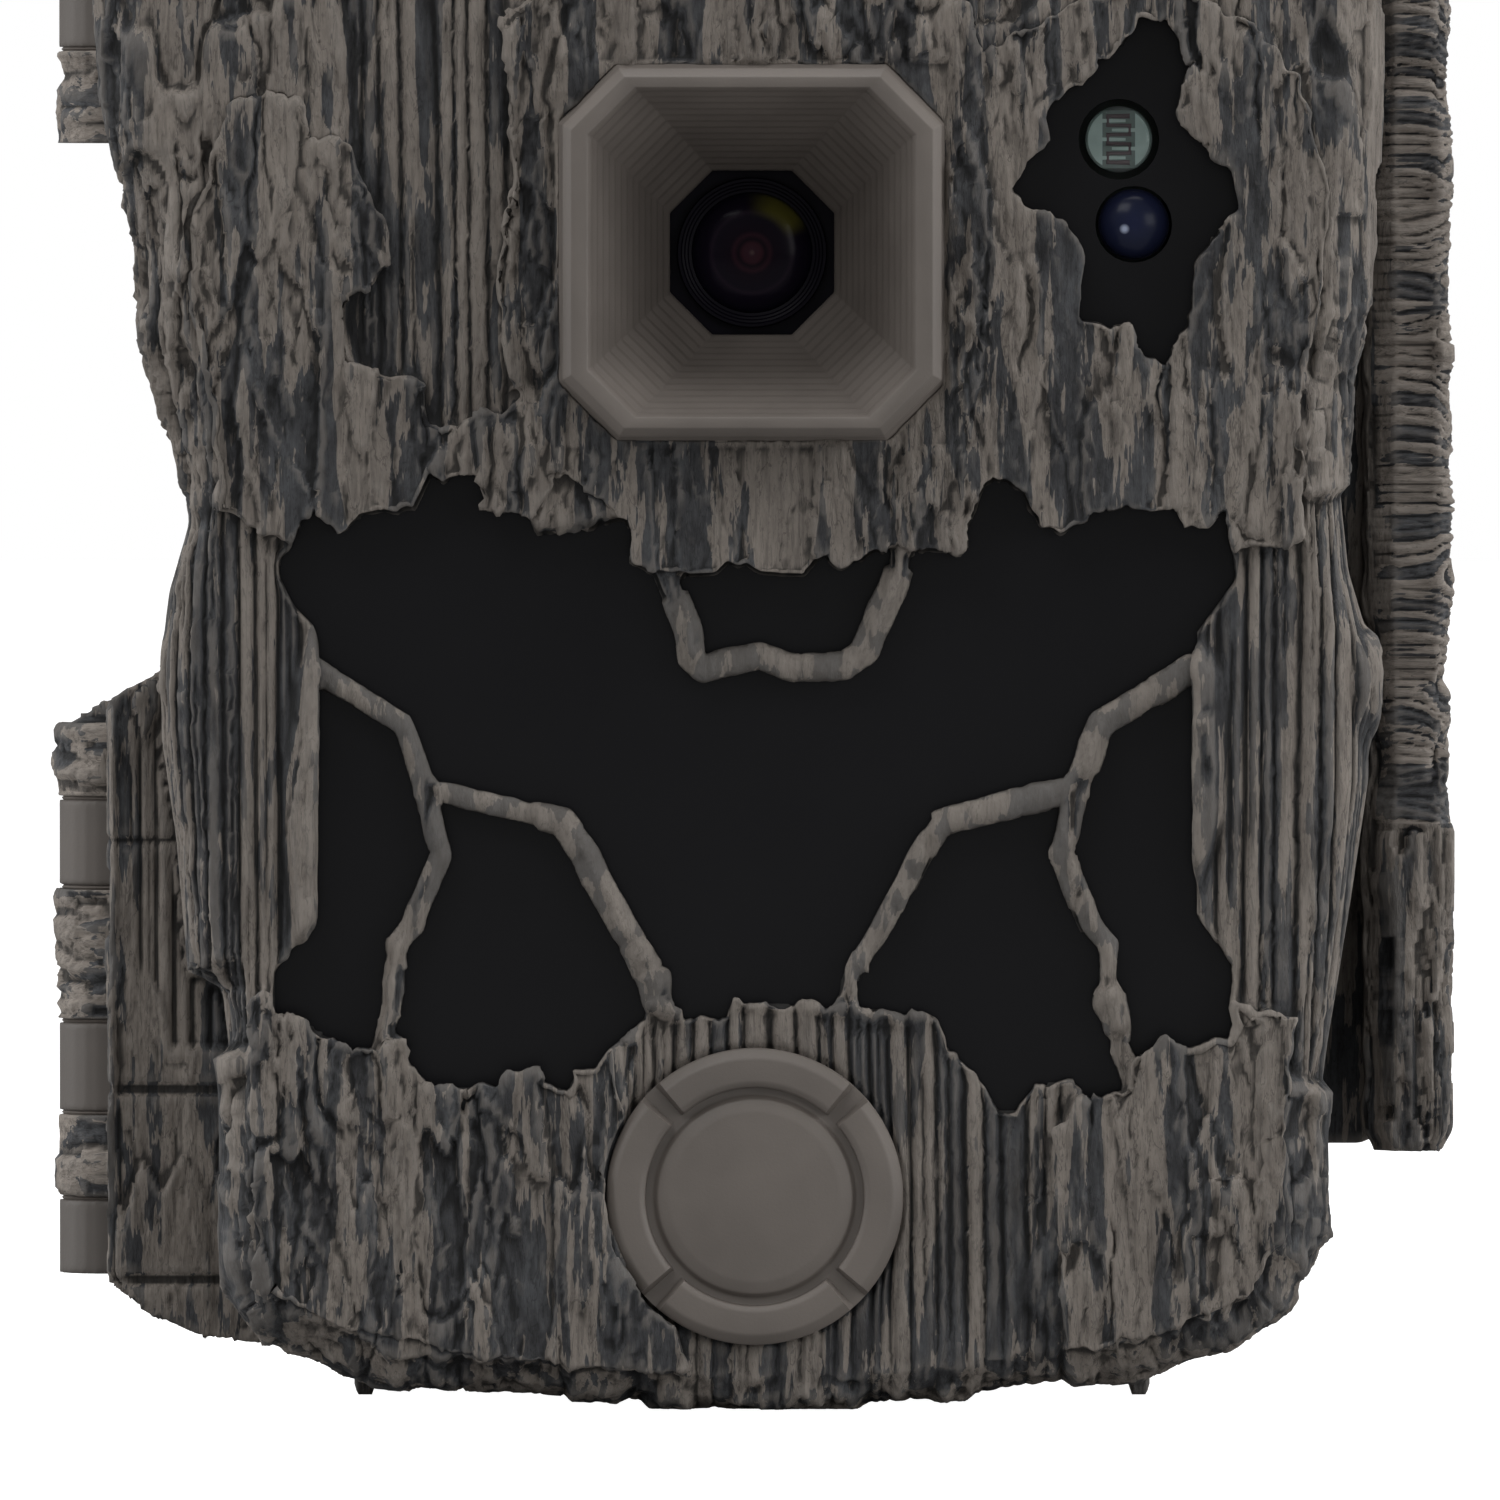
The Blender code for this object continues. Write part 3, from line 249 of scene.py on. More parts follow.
def coloured(obj, material):
    obj.data.materials.clear()
    obj.data.materials.append(MATERIALS[material])
    return obj


def finish_piece(obj, body, material, *replaced):
    if material:
        coloured(obj, material)
    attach(obj, body)
    if replaced:
        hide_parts(*replaced)


def bark_copy(node, name, cell, stretch, rounds):
    """A fine copy of a CAD node, its neighbours, its points, and its normals eased round the corners."""
    obj = remeshed(node, name, cell, stretch)
    near = Neighbours(obj.data)
    normals = near.smooth(rows_of(obj.data.vertex_normals, "vector"), rounds)
    return obj, near, points_of(obj.data), normals / np.linalg.norm(normals, axis=1)[:, None]


def finish_bark(obj, near, points, groove_shade, tone, body, material, node):
    """Moves the copy's points, and saves what its camouflage reads from the mesh."""
    set_points(obj.data, points)
    write_wear_highlight_and_shade(obj.data, near)
    write_attribute(obj.data, "groove_shade", groove_shade)
    write_attribute(obj.data, "tone", tone)
    obj.data.shade_smooth()
    finish_piece(obj, body, material, node)


# ---------------- materials
class Shader:
    """A new material and short calls for the nodes that it uses."""

    def __init__(self, name, **values):
        self.material = bpy.data.materials.new(name)
        self.material.use_nodes = True
        self.tree = self.material.node_tree
        self.principled = self.tree.nodes["Principled BSDF"]
        for key, value in values.items():
            self.set(self.principled, key.replace("_", " "), value)

    def set(self, node, key, value):
        """Links an output to an input, or sets the input to a number, a vector or a colour."""
        socket = node.inputs[key]
        if isinstance(value, bpy.types.NodeSocket):
            self.tree.links.new(value, socket)
        else:
            socket.default_value = (*value, 1.0) if socket.type == "RGBA" else value

    def node(self, kind, **inputs):
        node = self.tree.nodes.new(kind)
        for key, value in inputs.items():
            self.set(node, key.replace("_", " "), value)
        return node

    def place(self):
        return self.node("ShaderNodeTexCoord").outputs["Object"]

    def coordinates(self, scale):
        return self.node("ShaderNodeMapping", Vector=self.place(), Scale=scale).outputs["Vector"]

    def noise(self, scale, detail=4.0, roughness=0.6, distortion=0.0):
        """Noise whose features are about 1 / scale metres across, along X, Y and Z."""
        return self.node(
            "ShaderNodeTexNoise", Vector=self.coordinates(scale), Scale=1.0, Detail=detail,
            Roughness=roughness, Distortion=distortion,
        ).outputs["Fac"]

    def cells(self, scale):
        """Distance from the middles of scattered cells, with a crease along each border."""
        warp = self.node("ShaderNodeTexNoise", Vector=self.coordinates(scale), Scale=0.7)
        place = self.mix(0.35, self.coordinates(scale), warp.outputs["Color"], "ADD")
        return self.node("ShaderNodeTexVoronoi", Vector=place, Scale=1.0).outputs["Distance"]

    def ramp(self, value, *stops, smooth=False):
        """Colours along a value: each stop is (place, colour or grey level)."""
        node = self.node("ShaderNodeValToRGB", Fac=value)
        node.color_ramp.interpolation = "EASE" if smooth else "LINEAR"
        elements = node.color_ramp.elements
        while len(elements) < len(stops):
            elements.new(0.5)
        for element, (place, colour) in zip(elements, stops):
            element.position = place
            element.color = (*(colour if isinstance(colour, tuple) else (colour,) * 3), 1.0)
        return node.outputs["Color"]

    def mix(self, factor, first, second, blend="MIX"):
        node = self.node("ShaderNodeMix")
        node.data_type = "RGBA"
        node.blend_type = blend
        for index, value in ((0, factor), (6, first), (7, second)):
            self.set(node, index, value)
        return node.outputs[2]

    def maths(self, operation, *values, kind="ShaderNodeMath", output="Value"):
        node = self.node(kind)
        node.operation = operation
        for index, value in enumerate(values):
            self.set(node, index, value)
        return node.outputs[output]

    def vectors(self, operation, *values, output="Vector"):
        return self.maths(operation, *values, kind="ShaderNodeVectorMath", output=output)

    def attribute(self, name):
        node = self.node("ShaderNodeAttribute")
        node.attribute_name = name
        return node.outputs["Fac"]

    def colour(self, value):
        self.set(self.principled, "Base Color", value)

    def roughness(self, value):
        self.set(self.principled, "Roughness", value)

    def uneven(self, cloud, colour, roughness, shades=(0.85, 1.0), more=0.07, low=0.3):
        """A colour and a roughness that vary a little with a noise."""
        first, last = (tuple(shade * channel for channel in colour) for shade in shades)
        self.colour(self.ramp(cloud, (low, first), (1 - low, last)))
        self.roughness(self.ramp(cloud, (low, roughness), (1 - low, roughness + more)))

    def bump(self, height, depth, strength=0.6):
        """Small relief, with its depth in millimetres."""
        node = self.node("ShaderNodeBump", Height=height, Strength=strength, Distance=depth * MM)
        self.set(self.principled, "Normal", node.outputs["Normal"])


def camouflage(name, along="Z", painted_light_gain=1.0):
    """Printed bark camouflage: taupe with slate streaks along one axis. The mesh's own values say how convex
    or hollow it is (wear_highlight_and_shade), which makes convex edges paler, partly as worn paint and
    partly as a painted highlight, and hollows darker as painted shade; how high it stands between its
    grooves (groove_shade), which darkens the grooves as painted shade; and the tone of its ridges (tone)."""
    shader = Shader(name, Specular_IOR_Level=0.3)

    def streaks(wide, long):
        return tuple(1000 / (long if axis == along else wide) for axis in "XYZ")

    # Colours scaled by the gain, which makes a paler copy of the material as painted light.
    def tinted(*colour):
        return tuple(painted_light_gain * channel for channel in colour)

    def share(value, factor):
        return shader.maths("MULTIPLY", value, factor)

    broad = shader.noise(streaks(3.0, 22.0), 2.0, 0.45, 0.1)
    flecks = shader.noise(streaks(1.15, 9.0), 4.0, 0.6, 0.15)
    print_tone = shader.maths("ADD", share(broad, 0.5), share(flecks, 0.5))
    streak_tone = shader.maths("ADD", print_tone, share(shader.attribute("tone"), 0.08))
    slate = shader.ramp(streak_tone, (0.491, 0.0), (0.497, 1.0))
    dust = shader.noise(streaks(2.6, 6.0), 6.0, 0.72)
    taupe = shader.ramp(dust, (0.34, tinted(0.122, 0.105, 0.091)), (0.66, tinted(0.198, 0.174, 0.152)))
    stone = shader.ramp(dust, (0.38, tinted(0.015, 0.015, 0.017)), (0.62, tinted(0.055, 0.057, 0.061)))
    printed = shader.mix(slate, stone, taupe)
    fissures = shader.noise(streaks(1.1, 7.0), 4.0, 0.6, 0.7)
    fibres = shader.noise(streaks(0.42, 5.0), 3.0, 0.6)
    speckle = shader.noise(streaks(0.28, 0.8), 3.0, 0.7)
    wear_highlight_and_shade = shader.attribute("wear_highlight_and_shade")
    # Darkening layers: print fissures, fibres and speckles, then painted shade in the grooves and painted
    # shade in hollow places.
    darkeners = (
        (0.6, fissures, (0.484, 1.0), (0.495, 0.3), (0.505, 0.3), (0.516, 1.0)),
        (0.8, fibres, (0.38, 0.62), (0.5, 1.0)),
        (0.45, speckle, (0.34, 0.4), (0.44, 1.0)),
        (1.0, shader.attribute("groove_shade"), (0.12, 0.12), (0.62, 1.0)),
        (1.0, wear_highlight_and_shade, (0.03, 0.22), (0.4, 1.0)),
    )
    for strength, layer, *stops in darkeners:
        printed = shader.mix(strength, printed, shader.ramp(layer, *stops), "MULTIPLY")
    # Convex edges paler: partly worn paint and partly a painted highlight.
    worn_edge_and_highlight = shader.ramp(wear_highlight_and_shade, (0.6, 0.0), (1.0, 0.35))
    shader.colour(shader.mix(worn_edge_and_highlight, printed, (0.21, 0.19, 0.17)))
    shader.roughness(shader.ramp(dust, (0.3, 0.55), (0.7, 0.78)))
    small = share(shader.cells(streaks(0.55, 1.3)), 0.4)
    creases = shader.maths("ADD", shader.cells(streaks(1.5, 4.5)), small)
    grain = share(shader.noise(streaks(0.2, 0.9), 5.0, 0.7), 0.45)
    shader.bump(shader.maths("ADD", creases, grain), 0.42)
    return shader.material


def moulded(name, colour, roughness=0.5):
    """Fine-textured moulded plastic."""
    shader = Shader(name, Specular_IOR_Level=0.4)
    shader.uneven(shader.noise((90, 90, 90), 3.0), colour, roughness, (0.88, 1.1), 0.1, 0.35)
    shader.bump(shader.noise((4200, 4200, 4200), 2.0), 0.03, 0.5)
    return shader.material


def black_window(name):
    """Glossy plastic that looks black and lets infrared light through."""
    shader = Shader(name, Base_Color=(0.0042, 0.0042, 0.0052), Specular_IOR_Level=0.22)
    shader.roughness(shader.ramp(shader.noise((60, 60, 60), 3.0), (0.3, 0.2), (0.7, 0.27)))
    return shader.material


def metal(name, colour):
    """Brushed metal."""
    shader = Shader(name, Metallic=1.0)
    line = shader.noise((2600, 2600, 60), 3.0)
    shader.uneven(line, colour, 0.28, (0.82, 1.0), 0.14)
    shader.bump(line, 0.01, 0.4)
    return shader.material


def board_green(name):
    """A circuit board: green lacquer over a faint pattern of tracks."""
    shader = Shader(name, Coat_Weight=0.4, Coat_Roughness=0.15)
    place = shader.coordinates((900, 900, 900))
    tracks = shader.node("ShaderNodeTexBrick", Vector=place, Scale=1.0, Mortar_Size=0.06).outputs["Fac"]
    shader.colour(shader.mix(tracks, (0.008, 0.055, 0.024), (0.02, 0.1, 0.045)))
    shader.roughness(shader.ramp(shader.noise((300, 300, 300)), (0.3, 0.32), (0.7, 0.45)))
    shader.bump(tracks, 0.03, 0.5)
    return shader.material


def cell_sleeve(name):
    """A printed cell sleeve: charcoal with a copper-coloured band at one end. The print repeats along Z
    in steps of one sleeve, so that both rows of cells get it at the same place."""
    shader = Shader(name, Metallic=0.6, Coat_Weight=0.6, Coat_Roughness=0.12)
    z = shader.node("ShaderNodeSeparateXYZ", Vector=shader.place()).outputs["Z"]
    start, step = span("cell_1")[0][2] + 15.0, -54.8
    along = shader.maths("DIVIDE", shader.maths("SUBTRACT", z, start * MM), step * MM)
    wrapped = shader.maths("FRACT", along, 0.0)
    sleeve = shader.ramp(wrapped, (0.70, (0.018, 0.019, 0.021)), (0.705, (0.42, 0.2, 0.075)))
    scratch = shader.noise((700, 700, 120), 5.0, 0.65)
    shader.colour(shader.mix(0.35, sleeve, shader.ramp(scratch, (0.3, 0.5), (0.6, 1.0)), "MULTIPLY"))
    shader.roughness(shader.ramp(scratch, (0.3, 0.26), (0.7, 0.42)))
    return shader.material


def milky(name, colour):
    """Translucent milky plastic."""
    shader = Shader(name, Subsurface_Weight=0.35, Subsurface_Scale=0.002, Specular_IOR_Level=0.4)
    shader.uneven(shader.noise((400, 400, 400), 3.0), colour, 0.35, (0.9, 1.0), 0.08)
    return shader.material


def radial_distance(shader, centre):
    """Distance in millimetres from a point, measured in the XZ plane, and the offset in metres."""
    start = (centre[0] * MM, 0.0, centre[2] * MM)
    offset = shader.vectors("SUBTRACT", shader.place(), start)
    flat = shader.vectors("MULTIPLY", offset, (1.0, 0.0, 1.0))
    return shader.maths("DIVIDE", shader.vectors("LENGTH", flat, output="Value"), MM), offset


def lens_glass(name):
    """Coated glass: nearly black, with painted reflections: faint violet rings, a pale glint at the middle
    and an olive arc towards the upper right.
    """
    shader = Shader(name, Specular_IOR_Level=0.06, Roughness=0.16)
    radius, offset = radial_distance(shader, span("front_lens")[2])
    share = shader.maths("DIVIDE", radius, 5.0)
    painted_rings_and_glint = shader.ramp(
        share, (0.0, (0.07, 0.045, 0.045)), (0.05, (0.03, 0.012, 0.018)), (0.14, (0.028, 0.009, 0.014)),
        (0.2, (0.006, 0.003, 0.006)), (0.27, (0.02, 0.007, 0.012)), (0.33, (0.006, 0.003, 0.007)),
        (0.55, (0.006, 0.004, 0.009)), (0.6, (0.012, 0.007, 0.014)), (0.65, (0.005, 0.003, 0.008)),
        (1.0, (0.003, 0.003, 0.006)),
    )
    split = shader.node("ShaderNodeSeparateXYZ", Vector=offset)
    turn = shader.maths("DIVIDE", shader.maths("ARCTAN2", split.outputs["Z"], split.outputs["X"]), math.pi)
    arc = shader.ramp(turn, (0.1, 0.0), (0.22, 1.0), (0.34, 1.0), (0.55, 0.0), smooth=True)
    ring = shader.ramp(share, (0.5, 0.0), (0.68, 1.0), (0.84, 0.9), (0.92, 0.0), smooth=True)
    painted_olive_reflection = shader.maths("MULTIPLY", arc, ring)
    shader.colour(shader.mix(painted_olive_reflection, painted_rings_and_glint, (0.055, 0.05, 0.009)))
    return shader.material


def lamp_epoxy(name):
    """Dark blue epoxy, darker towards the rim as painted shade, with a small pale painted glint beside its
    middle.
    """
    shader = Shader(name, Specular_IOR_Level=0.12, Roughness=0.22)
    centre = span("status_led")[2]
    radius, _ = radial_distance(shader, centre)
    glint, _ = radial_distance(shader, centre + (-0.7, 0.0, -0.35))
    blue = shader.ramp(
        shader.maths("DIVIDE", radius, 2.7), (0.0, (0.011, 0.014, 0.038)), (0.45, (0.009, 0.012, 0.031)),
        (0.8, (0.008, 0.010, 0.026)), (1.0, (0.004, 0.005, 0.012)),
    )
    shader.colour(shader.mix(shader.ramp(glint, (0.12, 1.0), (0.4, 0.0)), blue, (0.3, 0.34, 0.45)))
    return shader.material


def plain(name, colour, roughness, **values):
    """A plain surface with a faint unevenness in colour and gloss."""
    shader = Shader(name, **values)
    shader.uneven(shader.noise((700, 700, 700), 4.0), colour, roughness)
    return shader.material


MATERIALS = {
    "bark": camouflage("bark_camouflage"),
    # A paler copy of the bark camouflage, as painted light, for the ribbed latch and the hinge knuckles.
    "lit_bark_ribs": camouflage("lit_bark_ribs", along="X", painted_light_gain=1.38),
    "taupe": moulded("taupe_plastic", (0.112, 0.097, 0.086)),
    # A darker copy of the taupe plastic, as painted shade, for the hinge leaves beside the flange.
    "shaded_hinge_taupe": moulded("shaded_hinge_plastic", (0.084, 0.073, 0.065), 0.55),
    "black_gloss": black_window("infrared_window"),
    "black_matte": moulded("black_plastic", (0.011, 0.011, 0.012), 0.45),
    "fresnel": milky("fresnel_plastic", (0.42, 0.42, 0.40)),
    "steel": metal("bright_steel", (0.6, 0.6, 0.62)),
    "brass": metal("turned_brass", (0.65, 0.46, 0.2)),
    "board": board_green("circuit_board"),
    "inner_plastic": moulded("inner_plastic", (0.022, 0.021, 0.020)),
    "rubber": moulded("black_rubber", (0.016, 0.016, 0.016), 0.7),
    "screen": plain("screen_glass", (0.012, 0.016, 0.021), 0.07, Coat_Weight=0.6, Coat_Roughness=0.03),
    "card": plain("card_plastic", (0.012, 0.02, 0.05), 0.42),
    "white_mark": plain("white_mark", (0.5, 0.5, 0.48), 0.5),
    "coated_glass": lens_glass("coated_glass"),
    "blue_epoxy": lamp_epoxy("blue_epoxy"),
    "lens_black": plain("lens_black", (0.003, 0.0022, 0.0052), 0.4, Specular_IOR_Level=0.07),
    "cell_ceramic": plain("cell_ceramic", (0.15, 0.18, 0.17), 0.35),
    "cell_silver": plain("cell_silver", (0.5, 0.56, 0.54), 0.3, Metallic=0.1),
    "cell_track": plain("cell_track", (0.125, 0.066, 0.078), 0.5),
    "clear_glass": Shader(
        "clear_glass", Base_Color=(0.8, 0.95, 0.92), Roughness=0.03, Transmission_Weight=1.0, IOR=1.45,
    ).material,
    "cell_sleeve": cell_sleeve("cell_sleeve_down"),
}


# ---------------- mesh builders
def object_from(bm, name):
    mesh = bpy.data.meshes.new(name)
    bm.to_mesh(mesh)
    bm.free()
    return new_object(name, mesh)


def smoothed(obj, sharp):
    """Smooth shading, but for edges sharper than an angle in degrees."""
    obj.data.shade_smooth()
    obj.data.set_sharp_from_angle(angle=math.radians(sharp))
    return obj


def lofted(name, rings, closed=False, sharp=32):
    """A surface through rings of points in millimetres. It is either capped at both ends, or joined
    from the last ring back to the first."""
    bm = bmesh.new()
    rows = [[bm.verts.new([c * MM for c in point]) for point in ring] for ring in rings]
    size = len(rows[0])
    for first, second in zip(rows, rows[1:] + rows[:1] if closed else rows[1:]):
        for i in range(size):
            j = (i + 1) % size
            bm.faces.new((first[i], first[j], second[j], second[i]))
    if not closed:
        bm.faces.new(rows[0][::-1])
        bm.faces.new(rows[-1])
    bmesh.ops.recalc_face_normals(bm, faces=bm.faces)
    return smoothed(object_from(bm, name), sharp)


def circle(sides):
    """Angles in radians of the points round a circle."""
    return [2 * math.pi * i / sides for i in range(sides)]


def dome(radius, rise, base, degrees=90, steps=10):
    """(radius, height) pairs from the edge of a dome to its middle."""
    angles = [math.radians(degrees * i / steps) for i in range(steps, -1, -1)]
    return [(radius * math.sin(angle), base + rise * math.cos(angle)) for angle in angles]


FACING = {
    "front": Matrix.Rotation(math.radians(90), 3, "X"),
    "back": Matrix.Rotation(math.radians(-90), 3, "X"),
    "up": Matrix.Identity(3),
    "down": Matrix.Rotation(math.radians(180), 3, "X"),
}


def turned(name, profile, centre, facing="front", sides=72, sharp=32):
    """A turned piece from (radius, height) pairs. Height runs towards the side that it faces."""
    rings = []
    for radius, height in profile:
        radius = max(radius, 0.001)
        ring = [Vector((radius * math.cos(a), radius * math.sin(a), height)) for a in circle(sides)]
        rings.append([Vector(centre) + FACING[facing] @ point for point in ring])
    return lofted(name, rings, sharp=sharp)


def rounded(profile, radius, steps=3):
    """The profile with each inner corner point replaced by a short curve."""
    points = [Vector(p) for p in profile]
    out = [tuple(points[0])]
    for before, point, after in zip(points, points[1:], points[2:]):
        first, second = before - point, after - point
        reach = min(radius, first.length * 0.45, second.length * 0.45)
        start, end = point + first.normalized() * reach, point + second.normalized() * reach
        for i in range(steps + 1):
            t = i / steps
            out.append(tuple(start * (1 - t) ** 2 + point * 2 * t * (1 - t) + end * t ** 2))
    return [*out, tuple(points[-1])]


def octagon_ring(width, height, chamfer, centre, y):
    w, h, c = width / 2, height / 2, chamfer
    corners = (
        (w, h - c), (w - c, h), (-w + c, h), (-w, h - c), (-w, -h + c), (-w + c, -h), (w - c, -h),
        (w, -h + c),
    )
    return [(centre[0] + x, y, centre[1] + z) for x, z in corners]


def bevelled(obj, width, angle):
    bevel = obj.modifiers.new("Bevel", "BEVEL")
    bevel.width = width * MM
    bevel.segments = 2
    bevel.limit_method = "ANGLE"
    bevel.angle_limit = math.radians(angle)
    apply_modifiers(obj)
    return smoothed(obj, 40)


def softened(node, name, cell):
    """A copy of a CAD node with its edges rounded off, as a moulding's are."""
    obj = remeshed(node, name, cell)
    near = Neighbours(obj.data)
    points = points_of(obj.data)
    for _ in range(4):
        points = near.smooth(points, 1)
        points = points + (points - near.smooth(points, 1)) * 0.9
    set_points(obj.data, points)
    obj.data.shade_smooth()
    return obj


def merged(name, pieces):
    """One object from several, whose meshes keep their materials."""
    bm = bmesh.new()
    slots = []
    for piece in pieces:
        material = piece.data.materials[0]
        if material not in slots:
            slots.append(material)
        start = len(bm.faces)
        bm.from_mesh(piece.data)
        bm.faces.ensure_lookup_table()
        for face in bm.faces[start:]:
            face.material_index = slots.index(material)
        bpy.data.objects.remove(piece)
    obj = object_from(bm, name)
    for material in slots:
        obj.data.materials.append(material)
    return obj


# ---------------- front cover
FACE_Y = -28.0
PLATE_Y = -29.5
INNER_FACE_Y = -25.5
COVER_TOP = span("front_cover")[1][2]
MID_Z = COVER_TOP / 2
HINGE = Vector((-48.0, 0.0))
KNUCKLE_RADIUS = 4.2


def around(points, node, margin):
    """True for points within a node's box, seen from the front and grown by margin."""
    low, high, _ = span(node)
    x, z = points[:, 0], points[:, 2]
    return (x > low[0] - margin) & (x < high[0] + margin) & (z > low[2] - margin) & (z < high[2] + margin)


def side_facing(points, normals):
    """How much each point faces the nearer side or end of the case."""
    x, _, z = points.T
    return normals[:, 0] * np.sign(x) * (np.abs(x) > 34) + normals[:, 2] * np.sign(z - MID_Z)


def unfolded(points, normals, depth, side):
    """Coordinates that run on from a face round the sides and the ends, at a depth behind the face.
    side is 1 or -1 for the right or the left."""
    x, _, z = points.T
    return x + side * normals[:, 0] ** 2 * depth, z + np.sign(z - MID_Z) * normals[:, 2] ** 2 * depth


def inside_cover(points):
    """True for points of the cover's inner walls, which carry no bark and no print."""
    x, y, z = points.T
    left = np.where(y < -11.4, -36.4, -39.4)
    return (y > INNER_FACE_Y - 0.1) & (x < 39.3) & (x > left) & (z > 9.2) & (z < 134.6)


def knuckles(points):
    """True for the hinge knuckles that belong to the cover."""
    x, y, z = points.T
    return (x < -44.2) & ((z < 51.0) | (z > 93.5)) & (y > -4.4)


def cover_weight(points, normals):
    """How much of the relief each point of the cover gets: none inside, at the rim or in the holes."""
    x, y, z = points.T
    front = fade(0.08, 0.3, -normals[:, 1]) * ((y < INNER_FACE_Y + 1.4) | (x < -33.5))
    side = 0.7 * fade(0.1, 0.4, side_facing(points, normals)) * (y > INNER_FACE_Y - 2.6) * fade(0.6, 2.2, -y)
    weight = np.maximum(front, side) * ~inside_cover(points) * (1 - 0.5 * fade(9.0, 4.0, z))
    round_face = (1 - np.abs(normals[:, 2])) * (np.hypot(x - HINGE.x, y - HINGE.y) > 3.4)
    weight = np.where(knuckles(points), 0.8 * round_face, weight)
    for node in ("lens_hood", "pir_bezel"):
        close = around(points, node, -1.4) & (y < INNER_FACE_Y + 1)
        weight = np.where(close, weight * 0.3, weight)
    return weight


def window_walls(points, normals):
    """True on the walls of the windows that are cut through the front."""
    x, y, z = points.T
    upright = (np.abs(normals[:, 1]) < 0.5) & (y > FACE_Y + 0.3) & (y < INNER_FACE_Y + 0.2)
    return upright & (around(points, "ir_window", 0.5) | around(points, "sensor_window", 0.5))


# left, right, lowest and highest of the hollows of long ridges
CORRUGATED = (
    (-29.5, -14.0, 71.0, 144.0), (-46.0, -32.0, 25.0, 67.5), (32.0, 47.0, 25.0, 68.0),
    (-10.5, 23.5, 0.0, 31.0),
)


def raised_plates(points, u, v, beside_plate):
    """0..1 for flaking bark, which is everywhere but in the corrugated hollows, and the extra height of
    the patches that stand up from the face beyond the plates of the CAD model."""
    x, y, z = points.T
    wavy_x, wavy_z = x + 2.5 * noise(x / 5, z / 9, 73), z + 2.0 * noise(x / 3, z / 5, 74)
    hollow = np.zeros(x.shape)
    for left, right, low, high in CORRUGATED:
        within_x = fade(0, 1.2, wavy_x - left) * fade(0, 1.2, right - wavy_x)
        hollow = np.maximum(hollow, within_x * fade(0, 1.5, wavy_z - low) * fade(0, 1.5, high - wavy_z))
    plate = np.maximum(fade(0.5, 1.1, FACE_Y - y), 1 - hollow)
    patch = fade(-0.1, 0.0, noise(u / 9, v / 19, 71) + 0.4 * noise(u / 3, v / 5, 72))
    patch = np.maximum(patch, fade(0.0, 0.12, beside_plate))
    left_over = np.clip((y - PLATE_Y) / (FACE_Y - PLATE_Y), 0, 1)
    return plate, (0.35 + 0.8 * patch) * (1 - hollow) * left_over * (y < FACE_Y + 4)


def ragged_edges(points):
    """Shifts the front wall sideways a little, which makes the plates' and windows' edges ragged."""
    x, y, z = points.T
    ragged = (y < INNER_FACE_Y - 0.05) & ~around(points, "badge", 0.6)
    ragged &= ~around(points, "lens_hood", -1.0) & ~around(points, "pir_bezel", -1.0)
    straight = fade(33.0, 36.0, z) * fade(64.0, 61.0, z) * (np.abs(x) < 38)
    shift = ragged * fade(0.0, 2.0, 44.0 - np.abs(x)) * (1 - 0.85 * straight)
    moved = points.copy()
    moved[:, 0] += shift * (0.3 * noise(x / 1.3, z / 1.6, 51) + 0.14 * noise(x / 0.5, z / 0.7, 53))
    moved[:, 2] += shift * (0.4 * noise(x / 1.1, z / 1.5, 52) + 0.18 * noise(x / 0.45, z / 0.6, 54))
    return moved


def seams(points):
    """0..1 along the level grooves across the flange beside the hinge, the same at both ends."""
    x, y, z = points.T
    from_end = np.minimum(z, COVER_TOP - z)
    level = peak(from_end - 23.4, 0.3) + peak(from_end - 9.2, 0.3)
    level += 0.7 * peak(from_end - 41.9, 0.25) * (x < -41.0)
    return np.clip(level, 0, 1) * (x < -38.0) * (y > -22)


